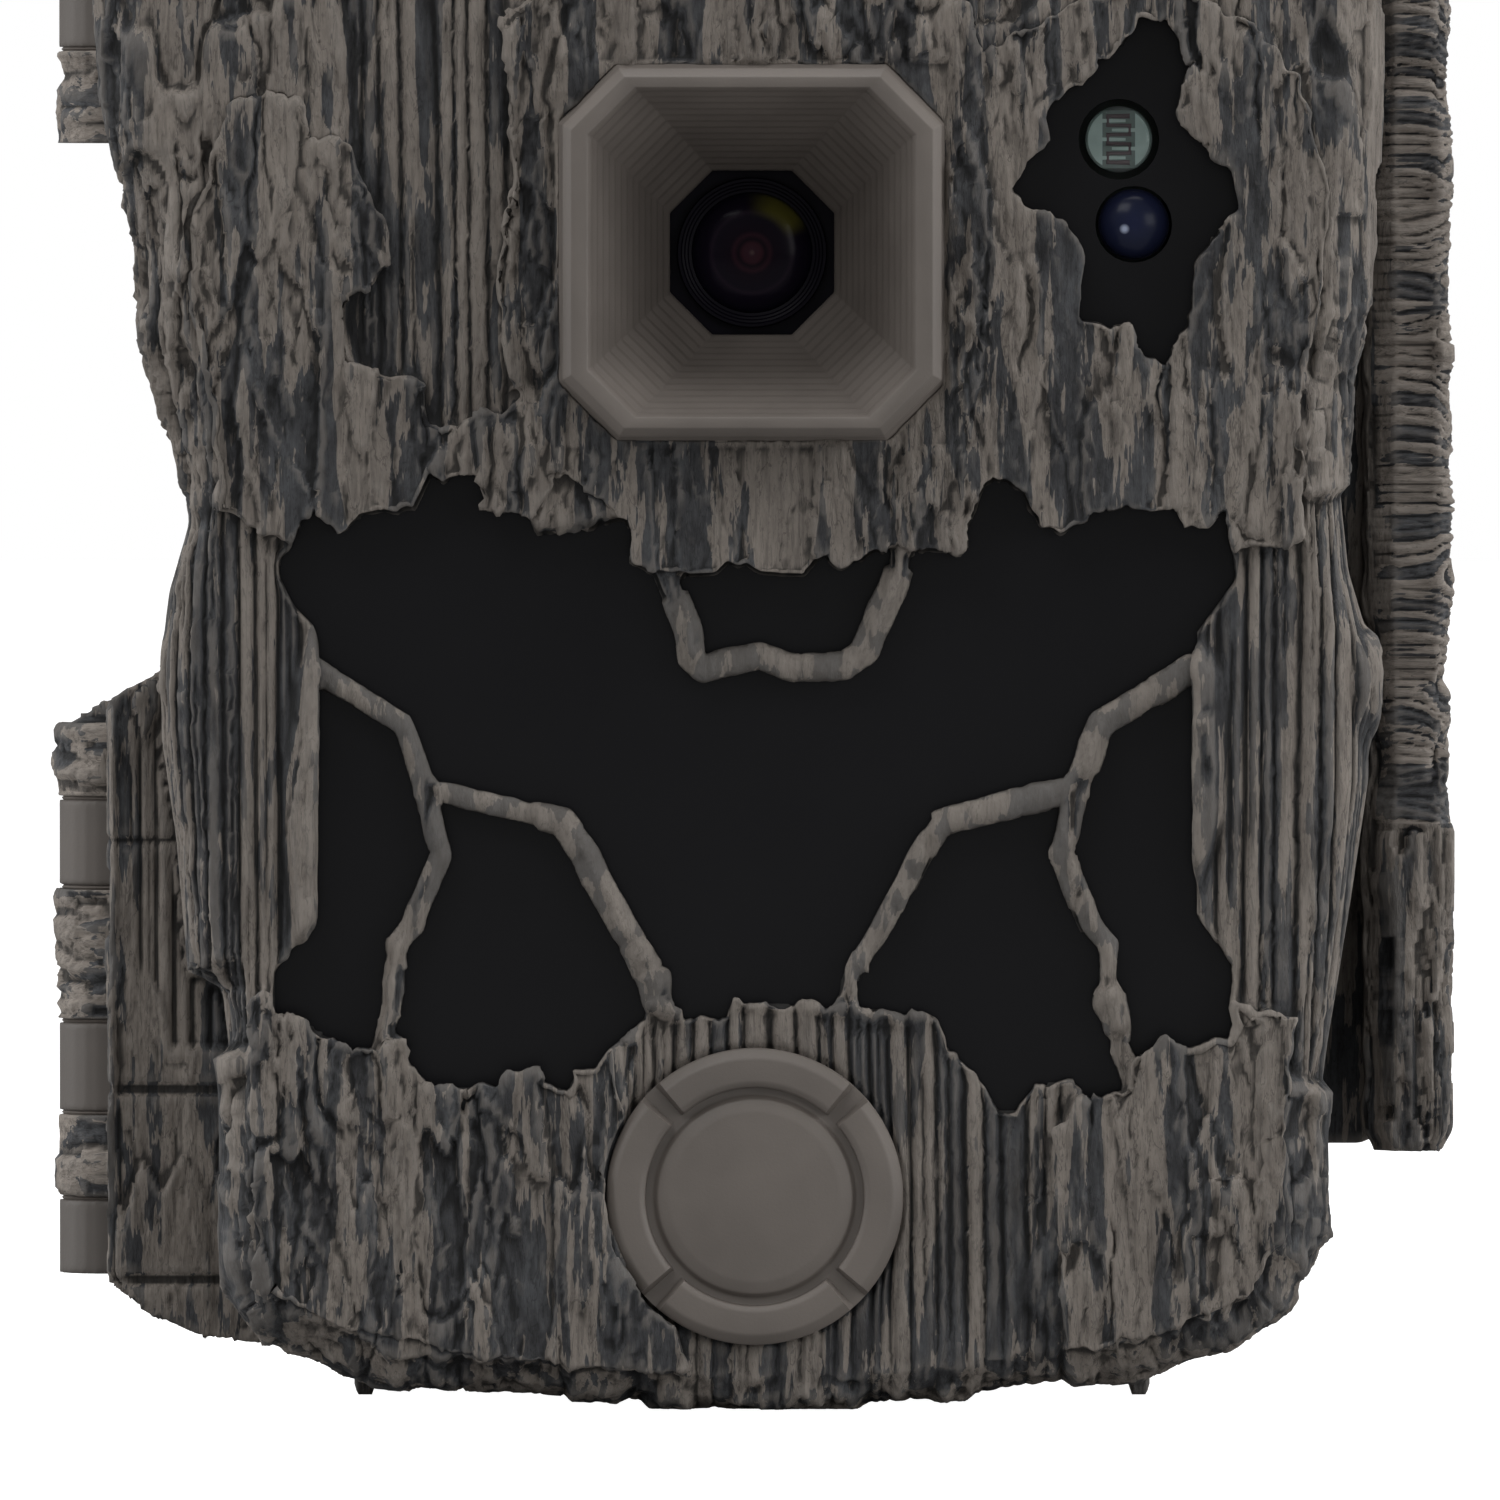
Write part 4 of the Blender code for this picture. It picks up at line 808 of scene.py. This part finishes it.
def cover_shell():
    """The front cover, with its plates, window ribs and hinge knuckles all in one moulding."""
    obj, near, points, normals = bark_copy("front_cover", "cover_shell", 0.22, (1.0, 1.0, 1.9), 6)
    x, y, z = points.T
    weight = cover_weight(points, normals)
    walls = window_walls(points, normals)
    lip = fade(0.02, 0.16, near.smooth(walls.astype(float), 9))
    groove_across = seams(points)
    moved = ragged_edges(points)
    u, v = unfolded(moved, normals, moved[:, 1] - FACE_Y, np.sign(normals[:, 0]))
    beside_plate = near.smooth((y < FACE_Y - 0.6).astype(float), 60)
    plate, extra = raised_plates(moved, u, v, beside_plate)
    height, groove_shade, tone = bark(u, v, plate)
    knuckle = knuckles(points)
    round_pin = KNUCKLE_RADIUS * np.arctan2(x - HINGE.x, HINGE.y - y)
    height = np.where(knuckle, chipped(z * 1.3, round_pin, 91), height)
    groove_shade, tone = np.where(knuckle, 1.0, groove_shade), np.where(knuckle, 0.5, tone)
    height = height - 0.5 * groove_across
    height = height * (1 - np.where(plate > 0.5, 0.85, 0.5) * lip)
    plate_walls = (y < FACE_Y + 0.1) & (y > PLATE_Y - 0.1) & ~walls
    lift = extra * np.where(plate_walls, 1.0, weight) * (1 - 0.6 * lip)
    outward = np.where((beside_plate > 0.004)[:, None], np.array((0.0, -1.0, 0.0)), normals)
    moved = moved + normals * (height * weight)[:, None] + outward * lift[:, None]
    moved[:, 2] = np.maximum(moved[:, 2], 0.0)
    # Painted shade in the grooves of the bark and in the seams across the flange.
    groove_shade = np.minimum(1 - (1 - groove_shade) * np.clip(weight, 0, 1), 1 - groove_across)
    # Painted shade on the deeper walls of the windows, dark right up to the lip.
    groove_shade = np.where(walls & (y > FACE_Y + 0.5), 0.0, groove_shade)
    tone = tone * weight + 1.9 * noise(x / 1.1, z / 1.3, 81) * lip
    finish_bark(obj, near, moved, groove_shade, tone, "cover", "bark", "front_cover")
    paint_faces(obj, ("lit_bark_ribs", knuckles), ("inner_plastic", inside_cover))


# ---------------- rear housing, hinges and latch
def inside_housing(points):
    x, y, z = points.T
    return (np.abs(x) < 39.4) & (z > 9.0) & (z < 134.6) & (y < 21.8)


def housing_shell():
    obj, near, points, normals = bark_copy("rear_housing", "housing_shell", 0.34, (1.0, 1.0, 1.6), 4)
    x, y, z = points.T
    rear_y = span("rear_housing")[1][1]
    weight = np.maximum(fade(0.1, 0.4, side_facing(points, normals)), fade(0.1, 0.4, normals[:, 1]))
    weight *= ~inside_housing(points)
    weight *= fade(1.0, 2.6, y) * (x < 41.4) * (z > 6.3)
    u, v = unfolded(points, normals, rear_y - y, np.sign(x))
    plate = fade(-0.12, 0.0, noise(u / 12, v / 30, 171) + 0.35 * noise(u / 4, v / 6, 172))
    height, groove_shade, tone = bark(u, v, plate, 100)
    flat = (np.abs(x) < 31.0) & (z > 24.0) & (z < 120.0) & (y > rear_y - 1.0)
    height = np.where(flat, -0.1, np.minimum(0.7 * (height - 0.4 * plate), 0.2))
    moved = points + normals * (height * weight)[:, None]
    # The groove value gives a painted shade in the grooves of the bark.
    finish_bark(obj, near, moved, 1 - (1 - groove_shade) * weight, tone * weight, "rear", "bark", "rear_housing")
    paint_faces(obj, ("inner_plastic", inside_housing))


LATCH_PLATES_TOP = 43.0
LATCH_PIN = Vector((49.25, 14.0))


def cover_side(z):
    """How far the right-hand side of the CAD cover reaches at each height."""
    corners = points_of(NODES["front_cover"].data)
    corners = corners[(np.abs(corners[:, 1] - FACE_Y - 3.6) < 0.1) & (corners[:, 0] > 30)]
    corners = corners[np.argsort(corners[:, 2])]
    return np.interp(z, corners[:, 2], corners[:, 0])


def upright_bark(points):
    """True for the parts of the latch whose bark runs along it: its lower end and its inner edge."""
    return (points[:, 2] < LATCH_PLATES_TOP) | (points[:, 0] < 47.2)


def latch_band():
    """The latch lever: bark ribs across its length, and plates of bark at its lower end."""
    obj, near, points, normals = bark_copy("latch_lever", "latch_band", 0.2, (1.5, 1.5, 1.0), 4)
    x, y, z = points.T
    low, high, _ = span("latch_lever")
    bore = np.hypot(x - LATCH_PIN.x, y - LATCH_PIN.y) < 1.9
    outward = np.maximum(normals[:, 0] * (x > 47.5), -normals[:, 1] * (y < -4.0))
    outward = np.maximum(outward, normals[:, 1] * (y > LATCH_PIN.y))
    weight = fade(0.05, 0.4, outward) * ~bore * (1 - np.abs(normals[:, 2]))
    across = x - y * np.abs(normals[:, 0])
    plate = 1 - fade(-0.8, 0.8, z - LATCH_PLATES_TOP + 1.2 * noise(across / 2, z * 0, 205))
    scallop = np.abs(noise(across / 40, z / 5.2, 201))
    bulge = 0.3 - 0.6 * peak(scallop, 0.16) + 0.3 * noise(across / 6, z / 2.1, 202)
    slant = 0.22 * (across - 49.0) * noise(across * 0, z / 2.6, 208)
    rib, tone = ridges(z + slant + 0.3 * noise(across / 3.5, z / 2.5, 207), across * 2, 203, 0.85)
    strip = fade(47.9, 47.5, x) * fade(-3.0, -4.5, y)
    layers = 1.2 * chipped(across, z, 204) + 0.5 * bulge - 0.1
    height = (bulge + 0.5 * (rib - 1) - 0.1) * (1 - plate) + layers * plate
    height = height * (1 - strip) + (0.8 * chipped(across, z, 214) - 0.3) * strip
    limit = np.where(x > high[0] - 0.7, 0.35, 0.5)
    moved = points + normals * (np.minimum(height, limit) * weight)[:, None]
    room = np.clip(46.6 - cover_side(z), 0.0, 1.3)
    moved[:, 0] -= strip * (room + 0.25 * noise(z / 2.4, y / 3, 209))
    moved[:, 1] += strip * 1.1
    end = fade(low[2] + 2.4, low[2], z)
    moved[:, 0] += end * (49.3 - moved[:, 0]) * 0.22 * end
    ribbed = (1 - plate) * (1 - strip) * weight
    # Painted shade between the ribs, and a painted shade over the recessed inner strip.
    groove_shade = (1 - 0.5 * (1 - rib) * ribbed) * (1 - 0.55 * strip)
    tone = (1.6 * tone + 2.4 * (rib - 0.62)) * ribbed + 0.3
    finish_bark(obj, near, moved, groove_shade, tone, "latch_lever", "lit_bark_ribs", "latch_lever")
    paint_faces(obj, ("bark", upright_bark))


def hinge_pins():
    """Steel pins with a thin plastic washer in each gap between the knuckles."""
    gaps = {
        "hinge_pin_lower": (14.9, 21.3, 28.2, 38.2, 44.9),
        "hinge_pin_upper": (101.1, 107.8, 117.8, 124.7, 131.0),
    }
    disc = [(1.5, -0.16), (3.7, -0.16), (3.85, 0.0), (3.7, 0.16), (1.5, 0.16)]
    for node, levels in gaps.items():
        low, high, _ = span(node)
        length = high[2] - low[2]
        profile = [(0.0, 0.0), (1.2, 0.0), (1.5, 0.3), (1.5, length - 0.3), (1.2, length), (0.0, length)]
        rod = turned(f"{node}_rod", profile, (*HINGE, low[2]), "up", 32)
        washers = [turned("washer", disc, (*HINGE, level), "up", 48) for level in levels]
        pieces = [coloured(rod, "steel")]
        pieces += [coloured(washer, "taupe") for washer in washers]
        piece = smoothed(merged(f"{node}_and_washers", pieces), 35)
        finish_piece(piece, "rear", None, node)


# ---------------- lens
def lens_hood():
    """An octagonal hood whose throat narrows in steps."""
    low, high, (x, _, z) = span("lens_hood")
    front, back = low[1], high[1]
    foot, neck, outer = (high[0] - low[0], high[2] - low[2], 5.4), (28.8, 28.0, 4.4), (28.0, 27.2, 4.2)
    mouth, throat = (23.6, 23.8, 3.4), (12.2, 12.2, 3.15)
    sections = [
        (foot, back), (foot, -25.2), (neck, -25.2), (neck, PLATE_Y + 0.2), (outer, PLATE_Y - 0.4),
        (outer, front + 0.8), ((26.7, 25.9, 3.9), front), ((24.3, 24.4, 3.5), front + 0.1),
        (mouth, front + 0.8),
    ]
    steps, start, end = 13, front + 1.2, back - 0.6
    for i in range(steps):
        for part, deep in ((0.0, 0.0), (0.74, 0.56)):
            share = (i + part) / steps
            size = [a + (b - a) * share for a, b in zip(mouth, throat)]
            sections.append((size, start + (end - start) * (i + deep) / steps))
    sections += [(throat, end), (throat, back)]
    rings = [octagon_ring(*size, (x, z), y) for size, y in sections]
    hood = bevelled(lofted("hood_shell", rings, closed=True), 0.08, 12)
    finish_piece(hood, "cover", "taupe", "lens_hood")


def lens_assembly():
    centre = span("front_lens")[2]
    origin = (centre[0], span("lens_barrel")[0][1], centre[2])
    profile = [
        (0.0, -7.2), (5.3, -7.2), (5.6, -0.3), (5.5, 0.0), (5.3, 0.0), (5.2, -0.2), (5.05, -0.25),
        (4.95, -0.4), (4.8, -0.45), (4.7, -0.6), (4.5, -0.65), (4.5, -1.6), (0.0, -1.6),
    ]
    barrel = turned("lens_rings", profile, origin, sides=96, sharp=25)
    finish_piece(barrel, "cover", "lens_black", "lens_barrel")
    profile = [(0.0, -1.5), (4.5, -1.5), (4.55, -1.0)] + dome(4.55, 1.3, -1.0)
    glass = turned("front_glass", profile, origin, sides=96, sharp=60)
    finish_piece(glass, "cover", "coated_glass", "front_lens")


# ---------------- windows, lamps and sensors
def flat_piece(name, outline, depths, material):
    """A flat piece from (x, z) pairs, between two depths."""
    return coloured(lofted(name, [[(x, y, z) for x, z in outline] for y in depths]), material)


def tube(name, path, radius):
    """A round bar along points in millimetres."""
    curve = bpy.data.curves.new(name, "CURVE")
    curve.dimensions = "3D"
    curve.bevel_depth = radius * MM
    curve.bevel_resolution = 3
    curve.use_fill_caps = True
    spline = curve.splines.new("POLY")
    spline.points.add(len(path) - 1)
    for point, place in zip(spline.points, path):
        point.co = (*(c * MM for c in place), 1)
    obj = new_object(name, curve)
    mesh = evaluated_mesh(obj)
    bpy.data.objects.remove(obj)
    mesh.shade_smooth()
    return new_object(name, mesh)


def photocell():
    """A light cell: a pale disc with flat sides, silvery combs and a winding dark track under glass."""
    low, high, (cx, _, cz) = span("photocell")
    front = low[1]
    base = []
    for radius, flat, y in (
        (2.35, 2.05, high[1]), (2.5, 2.15, front + 0.5), (2.45, 2.1, front + 0.35), (2.2, 1.9, front + 0.3),
    ):
        heights = [(angle, max(-flat, min(flat, radius * math.sin(angle)))) for angle in circle(64)]
        base.append([(cx + radius * math.cos(angle), y, cz + z) for angle, z in heights])
    pieces = [coloured(lofted("cell_base", base), "cell_ceramic")]
    rows, half, step = 6, 0.8, 0.68
    track = []
    for row in range(rows):
        z = cz + (row - (rows - 1) / 2) * step
        ends = (-half, half) if row % 2 else (half, -half)
        track += [(cx + x, front + 0.36, z) for x in ends]
    pieces.append(coloured(tube("cell_track", track, 0.19), "cell_track"))
    for row in range(rows - 1):
        side = 1 if row % 2 else -1
        z = cz + (row - (rows - 2) / 2) * step
        finger = [(-0.5 * side, -0.1), (1.3 * side, -0.14), (1.3 * side, 0.14), (-0.5 * side, 0.1)]
        outline = [(cx + x, z + up) for x, up in finger[::side]]
        pieces.append(flat_piece("cell_finger", outline, (front + 0.4, front + 0.22), "cell_silver"))
    for side in (-1, 1):
        angles = [math.radians(7.2 * i) for i in range(-8, 9)]
        arc = [(cx + side * 2.25 * math.cos(angle), cz + 2.25 * math.sin(angle)) for angle in angles]
        outline = [(cx + side * 1.2, cz - 1.8), *arc, (cx + side * 1.2, cz + 1.8)]
        pieces.append(flat_piece("cell_comb", outline, (front + 0.4, front + 0.24), "cell_silver"))
    profile = [(0.0, -0.12), (2.42, -0.12)] + dome(2.5, 0.35, 0.2, 80, 8)
    glass = turned("cell_glass", profile, (cx, front + 0.3, cz), sides=64, sharp=60)
    piece = merged("light_cell", pieces)
    finish_piece(piece, "cover", None, "photocell")
    finish_piece(glass, "cover", "clear_glass")


def status_lamp():
    low, _, (x, _, z) = span("status_led")
    profile = [(0.0, -5.2), (2.45, -5.2), (2.6, -4.6), (2.62, 0.0)] + dome(2.6, 1.55, 0.0, steps=12)
    lamp = turned("lamp_dome", profile, (x, low[1] + 1.6, z), sides=64, sharp=60)
    finish_piece(lamp, "cover", "blue_epoxy", "status_led")


def pir_dome():
    """The motion sensor's lens: a soft bulge marked off into small moulded facets."""
    low, high, (cx, _, cz) = span("pir_lens")
    trim = 0.94
    wide, tall = (high[0] - low[0]) / 2 * trim, (high[2] - low[2]) / 2 * trim
    across, up = np.meshgrid(np.linspace(-1, 1, 120), np.linspace(-1, 1, 80))
    worn_edge_and_highlight = np.clip(1.0 - np.maximum(np.abs(across), np.abs(up)) ** 6, 0, 1)
    bulge = (1 - np.abs(across) ** 2.6) * (1 - np.abs(up) ** 2.6)
    facet_x = np.abs(np.mod(across * 3.5, 1.0) - 0.5) * 2
    facet_z = np.abs(np.mod(up * 2.5, 1.0) - 0.5) * 2
    creases = 1 - np.clip(np.maximum(facet_x, facet_z), 0.86, 1.0)
    y = high[1] - 3.2 - 3.1 * bulge ** 0.5 * worn_edge_and_highlight ** 0.3 + 0.9 * (0.14 - creases)
    places = np.stack([cx + across * wide, y, cz + up * tall], axis=2) * MM
    bm = bmesh.new()
    rows = [[bm.verts.new(place) for place in row] for row in places]
    for below, above in zip(rows, rows[1:]):
        for c in range(len(below) - 1):
            bm.faces.new((below[c], below[c + 1], above[c + 1], above[c]))
    rim = [e for e in bm.edges if e.is_boundary]
    made = bmesh.ops.extrude_edge_only(bm, edges=rim)["geom"]
    for vert in (g for g in made if isinstance(g, bmesh.types.BMVert)):
        vert.co.y = (high[1] - 0.2) * MM
    bmesh.ops.contextual_create(bm, geom=[e for e in bm.edges if e.is_boundary])
    bmesh.ops.recalc_face_normals(bm, faces=bm.faces)
    piece = smoothed(object_from(bm, "pir_dome"), 50)
    finish_piece(piece, "cover", "fresnel", "pir_lens")


def badge():
    """A plain round badge: a ring with four notches round a low dome."""
    low, high, (cx, _, cz) = span("badge")
    reach = (high[0] - low[0]) / 2
    notched_from, notch_floor, quarter = 7.9, 0.5, math.pi / 2
    profile = rounded([
        (reach - 0.15, 0.0), (reach, 0.2), (reach, 0.95), (reach - 0.75, 1.6), (8.5, 1.6), (8.1, 1.3),
        (8.1, 0.55), (7.5, 0.55), (7.2, 1.15), (6.3, 1.42), (4.0, 1.56), (2.0, 1.6), (0.01, 1.6),
    ], 0.16)
    rings = []
    for radius, height in profile:
        ring = []
        floor = height if radius < notched_from else min(height, notch_floor)
        for angle in circle(180):
            swing = (angle + quarter / 2) % quarter
            raised = floor + (height - floor) * float(fade(0.055, 0.085, min(swing, quarter - swing)))
            ring.append((cx + radius * math.cos(angle), high[1] - raised, cz + radius * math.sin(angle)))
        rings.append(ring)
    finish_piece(lofted("round_badge", rings, sharp=38), "cover", "taupe", "badge")


# ---------------- screws, buttons and the inner panel
def cross_screw(name, node, body, head, shank, rise, length):
    """A pan-head screw that faces backwards, with a cross recess."""
    _, high, (x, _, z) = span(node)
    profile = [
        (0.0, -length), (shank * 0.6, -length), (shank, -length + 0.6), (shank, 0.0), (head - 0.1, 0.0),
        (head, 0.15), *dome(head, rise - 0.2, 0.2, 84, 6),
    ]
    screw = turned(name, profile, (x, high[1] - rise, z), "back", 48, 40)
    cross = bmesh.new()
    for wide, tall in ((head * 1.15, 0.42), (0.42, head * 1.15)):
        made = bmesh.ops.create_cube(cross, size=1.0)["verts"]
        bmesh.ops.scale(cross, vec=(wide * MM, 1.1 * MM, tall * MM), verts=made)
    cutter = object_from(cross, "cross")
    cutter.location = [c * MM for c in (x, high[1], z)]
    cut = screw.modifiers.new("Cross", "BOOLEAN")
    cut.operation = "DIFFERENCE"
    cut.object = cutter
    cut.use_self = True
    bpy.context.view_layer.update()
    apply_modifiers(screw)
    bpy.data.objects.remove(cutter)
    screw.data.set_sharp_from_angle(angle=math.radians(35))
    finish_piece(screw, body, "steel", node)


def screws():
    for i in range(1, 5):
        cross_screw(f"panel_fixing_{i}", f"panel_screw_{i}", "cover", 2.2, 1.0, 1.0, 5.5)
        cross_screw(f"bracket_fixing_{i}", f"bracket_screw_{i}", "rear", 2.8, 1.4, 1.7, 4.6)


def buttons():
    """Round keys with a plain mark on each: an arrow, a stack of bars or a dot."""
    profile = rounded([
        (0.0, -6.5), (1.5, -6.5), (1.5, -4.1), (4.2, -4.1), (4.2, -3.0), (3.4, -3.0), (3.4, -0.5),
        (3.0, -0.08), (2.2, -0.2), (0.0, -0.3),
    ], 0.15)
    arrow = ((1.0, 0.0), (-0.7, 0.95), (-0.7, -0.95))
    bar = ((-1.0, -0.14), (1.0, -0.14), (1.0, 0.14), (-1.0, 0.14))
    marks = {
        "ok": [[(0.55 * math.cos(angle), 0.55 * math.sin(angle)) for angle in circle(24)]],
        "up": [[(-b, a) for a, b in arrow]],
        "down": [[(b, -a) for a, b in arrow]],
        "left": [[(-a, b) for a, b in arrow]],
        "right": [arrow],
        "menu": [[(a, b + row) for a, b in bar] for row in (-0.65, 0.0, 0.65)],
    }
    for key, outlines in marks.items():
        node = f"button_{key}"
        _, high, (cx, _, cz) = span(node)
        depths = (high[1] - 0.32, high[1] - 0.22)
        cap = turned(f"{key}_cap", profile, (cx, high[1], cz), "back", 64, 40)
        pieces = [coloured(cap, "taupe")]
        for outline in outlines:
            placed = [(cx + a, cz + b) for a, b in outline]
            pieces.append(flat_piece(f"{key}_mark", placed, depths, "white_mark"))
        piece = smoothed(merged(f"{key}_key", pieces), 40)
        finish_piece(piece, node, None, node)


def power_cells():
    """Eight cells in printed sleeves, each with its raised terminal at the lower end."""
    for i in range(1, 9):
        low, high, (cx, cy, _) = span(f"cell_{i}")
        length = high[2] - low[2]
        profile = rounded([
            (0.0, 0.0), (4.4, 0.0), (4.6, 0.25), (6.5, 0.25), (7.1, 0.7), (7.1, length - 2.0),
            (6.5, length - 1.4), (3.2, length - 1.4), (2.7, length - 1.1), (2.6, length), (0.0, length),
        ], 0.25)
        cell = turned(f"power_cell_{i}", profile, (cx, cy, high[2]), "down", 48, 40)
        finish_piece(cell, "rear", "cell_sleeve", f"cell_{i}")


cover_shell()
housing_shell()
latch_band()
hinge_pins()
lens_hood()
lens_assembly()
photocell()
status_lamp()
pir_dome()
badge()
screws()
buttons()
power_cells()

SOFTENED = {
    "hinge_leaf_lower": ("rear", "shaded_hinge_taupe", 0.25), "hinge_leaf_upper": ("rear", "shaded_hinge_taupe", 0.25),
    "tree_bracket": ("rear", "taupe", 0.36), "pir_bezel": ("cover", "taupe", 0.25),
    "port_cover": ("port_cover", "rubber", 0.2), "mode_switch": ("mode_switch", "taupe", 0.12),
}
for node, (body, slot, cell) in SOFTENED.items():
    finish_piece(softened(node, f"{node}_moulding", cell), body, slot, node)

PAINTED = {
    "black_gloss": ("ir_window", "sensor_window"),
    "black_matte": ("inner_panel", "battery_tray", "lens_holder", "dc_jack"),
    "lens_black": ("lens_plate",),
    "board": ("main_board", "sensor_board", "ir_led_board"),
    "steel": ("latch_pin", "sd_socket", "pir_sensor", "contact_strip_top", "contact_strip_bottom"),
    "brass": ("tripod_insert",), "rubber": ("gasket",), "screen": ("lcd_screen",), "card": ("sd_card",),
}
for slot, nodes in PAINTED.items():
    for node in nodes:
        coloured(NODES[node], slot)


# ---------------- stage, light and camera
LIT_POINT = Vector((0, 0, 0.07))
LIGHTS = {  # place and size in metres, power in watts
    "key": ((-0.45, -1.0, 0.95), (0.6, 0.5), 4.0),
    "left": ((-1.1, 0.05, 0.35), (0.9, 0.9), 10.0),
    "right": ((1.1, -0.15, 0.35), (0.9, 0.9), 10.5),
    "front": ((0.75, -1.0, 0.3), (0.5, 0.5), 2.0),
    "top": ((0.0, -0.15, 1.1), (0.9, 0.6), 7.0),
}


def area_light(name, place, size, power):
    light = bpy.data.lights.new(name, "AREA")
    light.shape = "RECTANGLE"
    light.size, light.size_y = size
    light.energy = power
    obj = new_object(name, light)
    obj.location = place
    obj.rotation_euler = (LIT_POINT - obj.location).to_track_quat("-Z", "Y").to_euler()


def stage():
    bm = bmesh.new()
    bmesh.ops.create_grid(bm, x_segments=1, y_segments=1, size=6.0)
    floor = object_from(bm, "floor")
    floor.location.z = -0.0002
    shader = Shader(
        "floor_white", Base_Color=(0.35, 0.35, 0.35), Roughness=0.9, Emission_Color=(1.0, 1.0, 1.0),
    )
    seen = shader.node("ShaderNodeLightPath").outputs["Is Camera Ray"]
    shader.set(shader.principled, "Emission Strength", seen)
    floor.data.materials.append(shader.material)


def studio():
    """A pale world that the camera sees as white, and five soft lights."""
    world = bpy.data.worlds.new("studio")
    bpy.context.scene.world = world
    world.use_nodes = True
    tree = world.node_tree
    back = tree.nodes["Background"]
    rays = tree.nodes.new("ShaderNodeLightPath")
    strength = tree.nodes.new("ShaderNodeMapRange")
    tree.links.new(rays.outputs["Is Camera Ray"], strength.inputs["Value"])
    strength.inputs["To Min"].default_value = 0.35
    tree.links.new(strength.outputs["Result"], back.inputs["Strength"])
    back.inputs["Color"].default_value = (1, 1, 1, 1)
    for name, (place, size, power) in LIGHTS.items():
        area_light(name, place, size, power)


SENSOR = 36.0
CAMERA_DISTANCE = 2.0
FRAME_WIDTH = 0.1111
AIM = Vector((-0.00015, FACE_Y * MM, 0.04896))
ELEVATION = math.radians(1.0)


def camera():
    data = bpy.data.cameras.new("camera")
    data.sensor_width = SENSOR
    data.lens = SENSOR * CAMERA_DISTANCE / FRAME_WIDTH
    data.clip_end = 20.0
    obj = new_object("camera", data)
    offset = Vector((0, -math.cos(ELEVATION), math.sin(ELEVATION))) * CAMERA_DISTANCE
    obj.location = AIM + offset
    obj.rotation_euler = (-offset).to_track_quat("-Z", "Y").to_euler()
    bpy.context.scene.camera = obj


stage()
studio()
camera()
bpy.context.scene.view_settings.view_transform = "Standard"
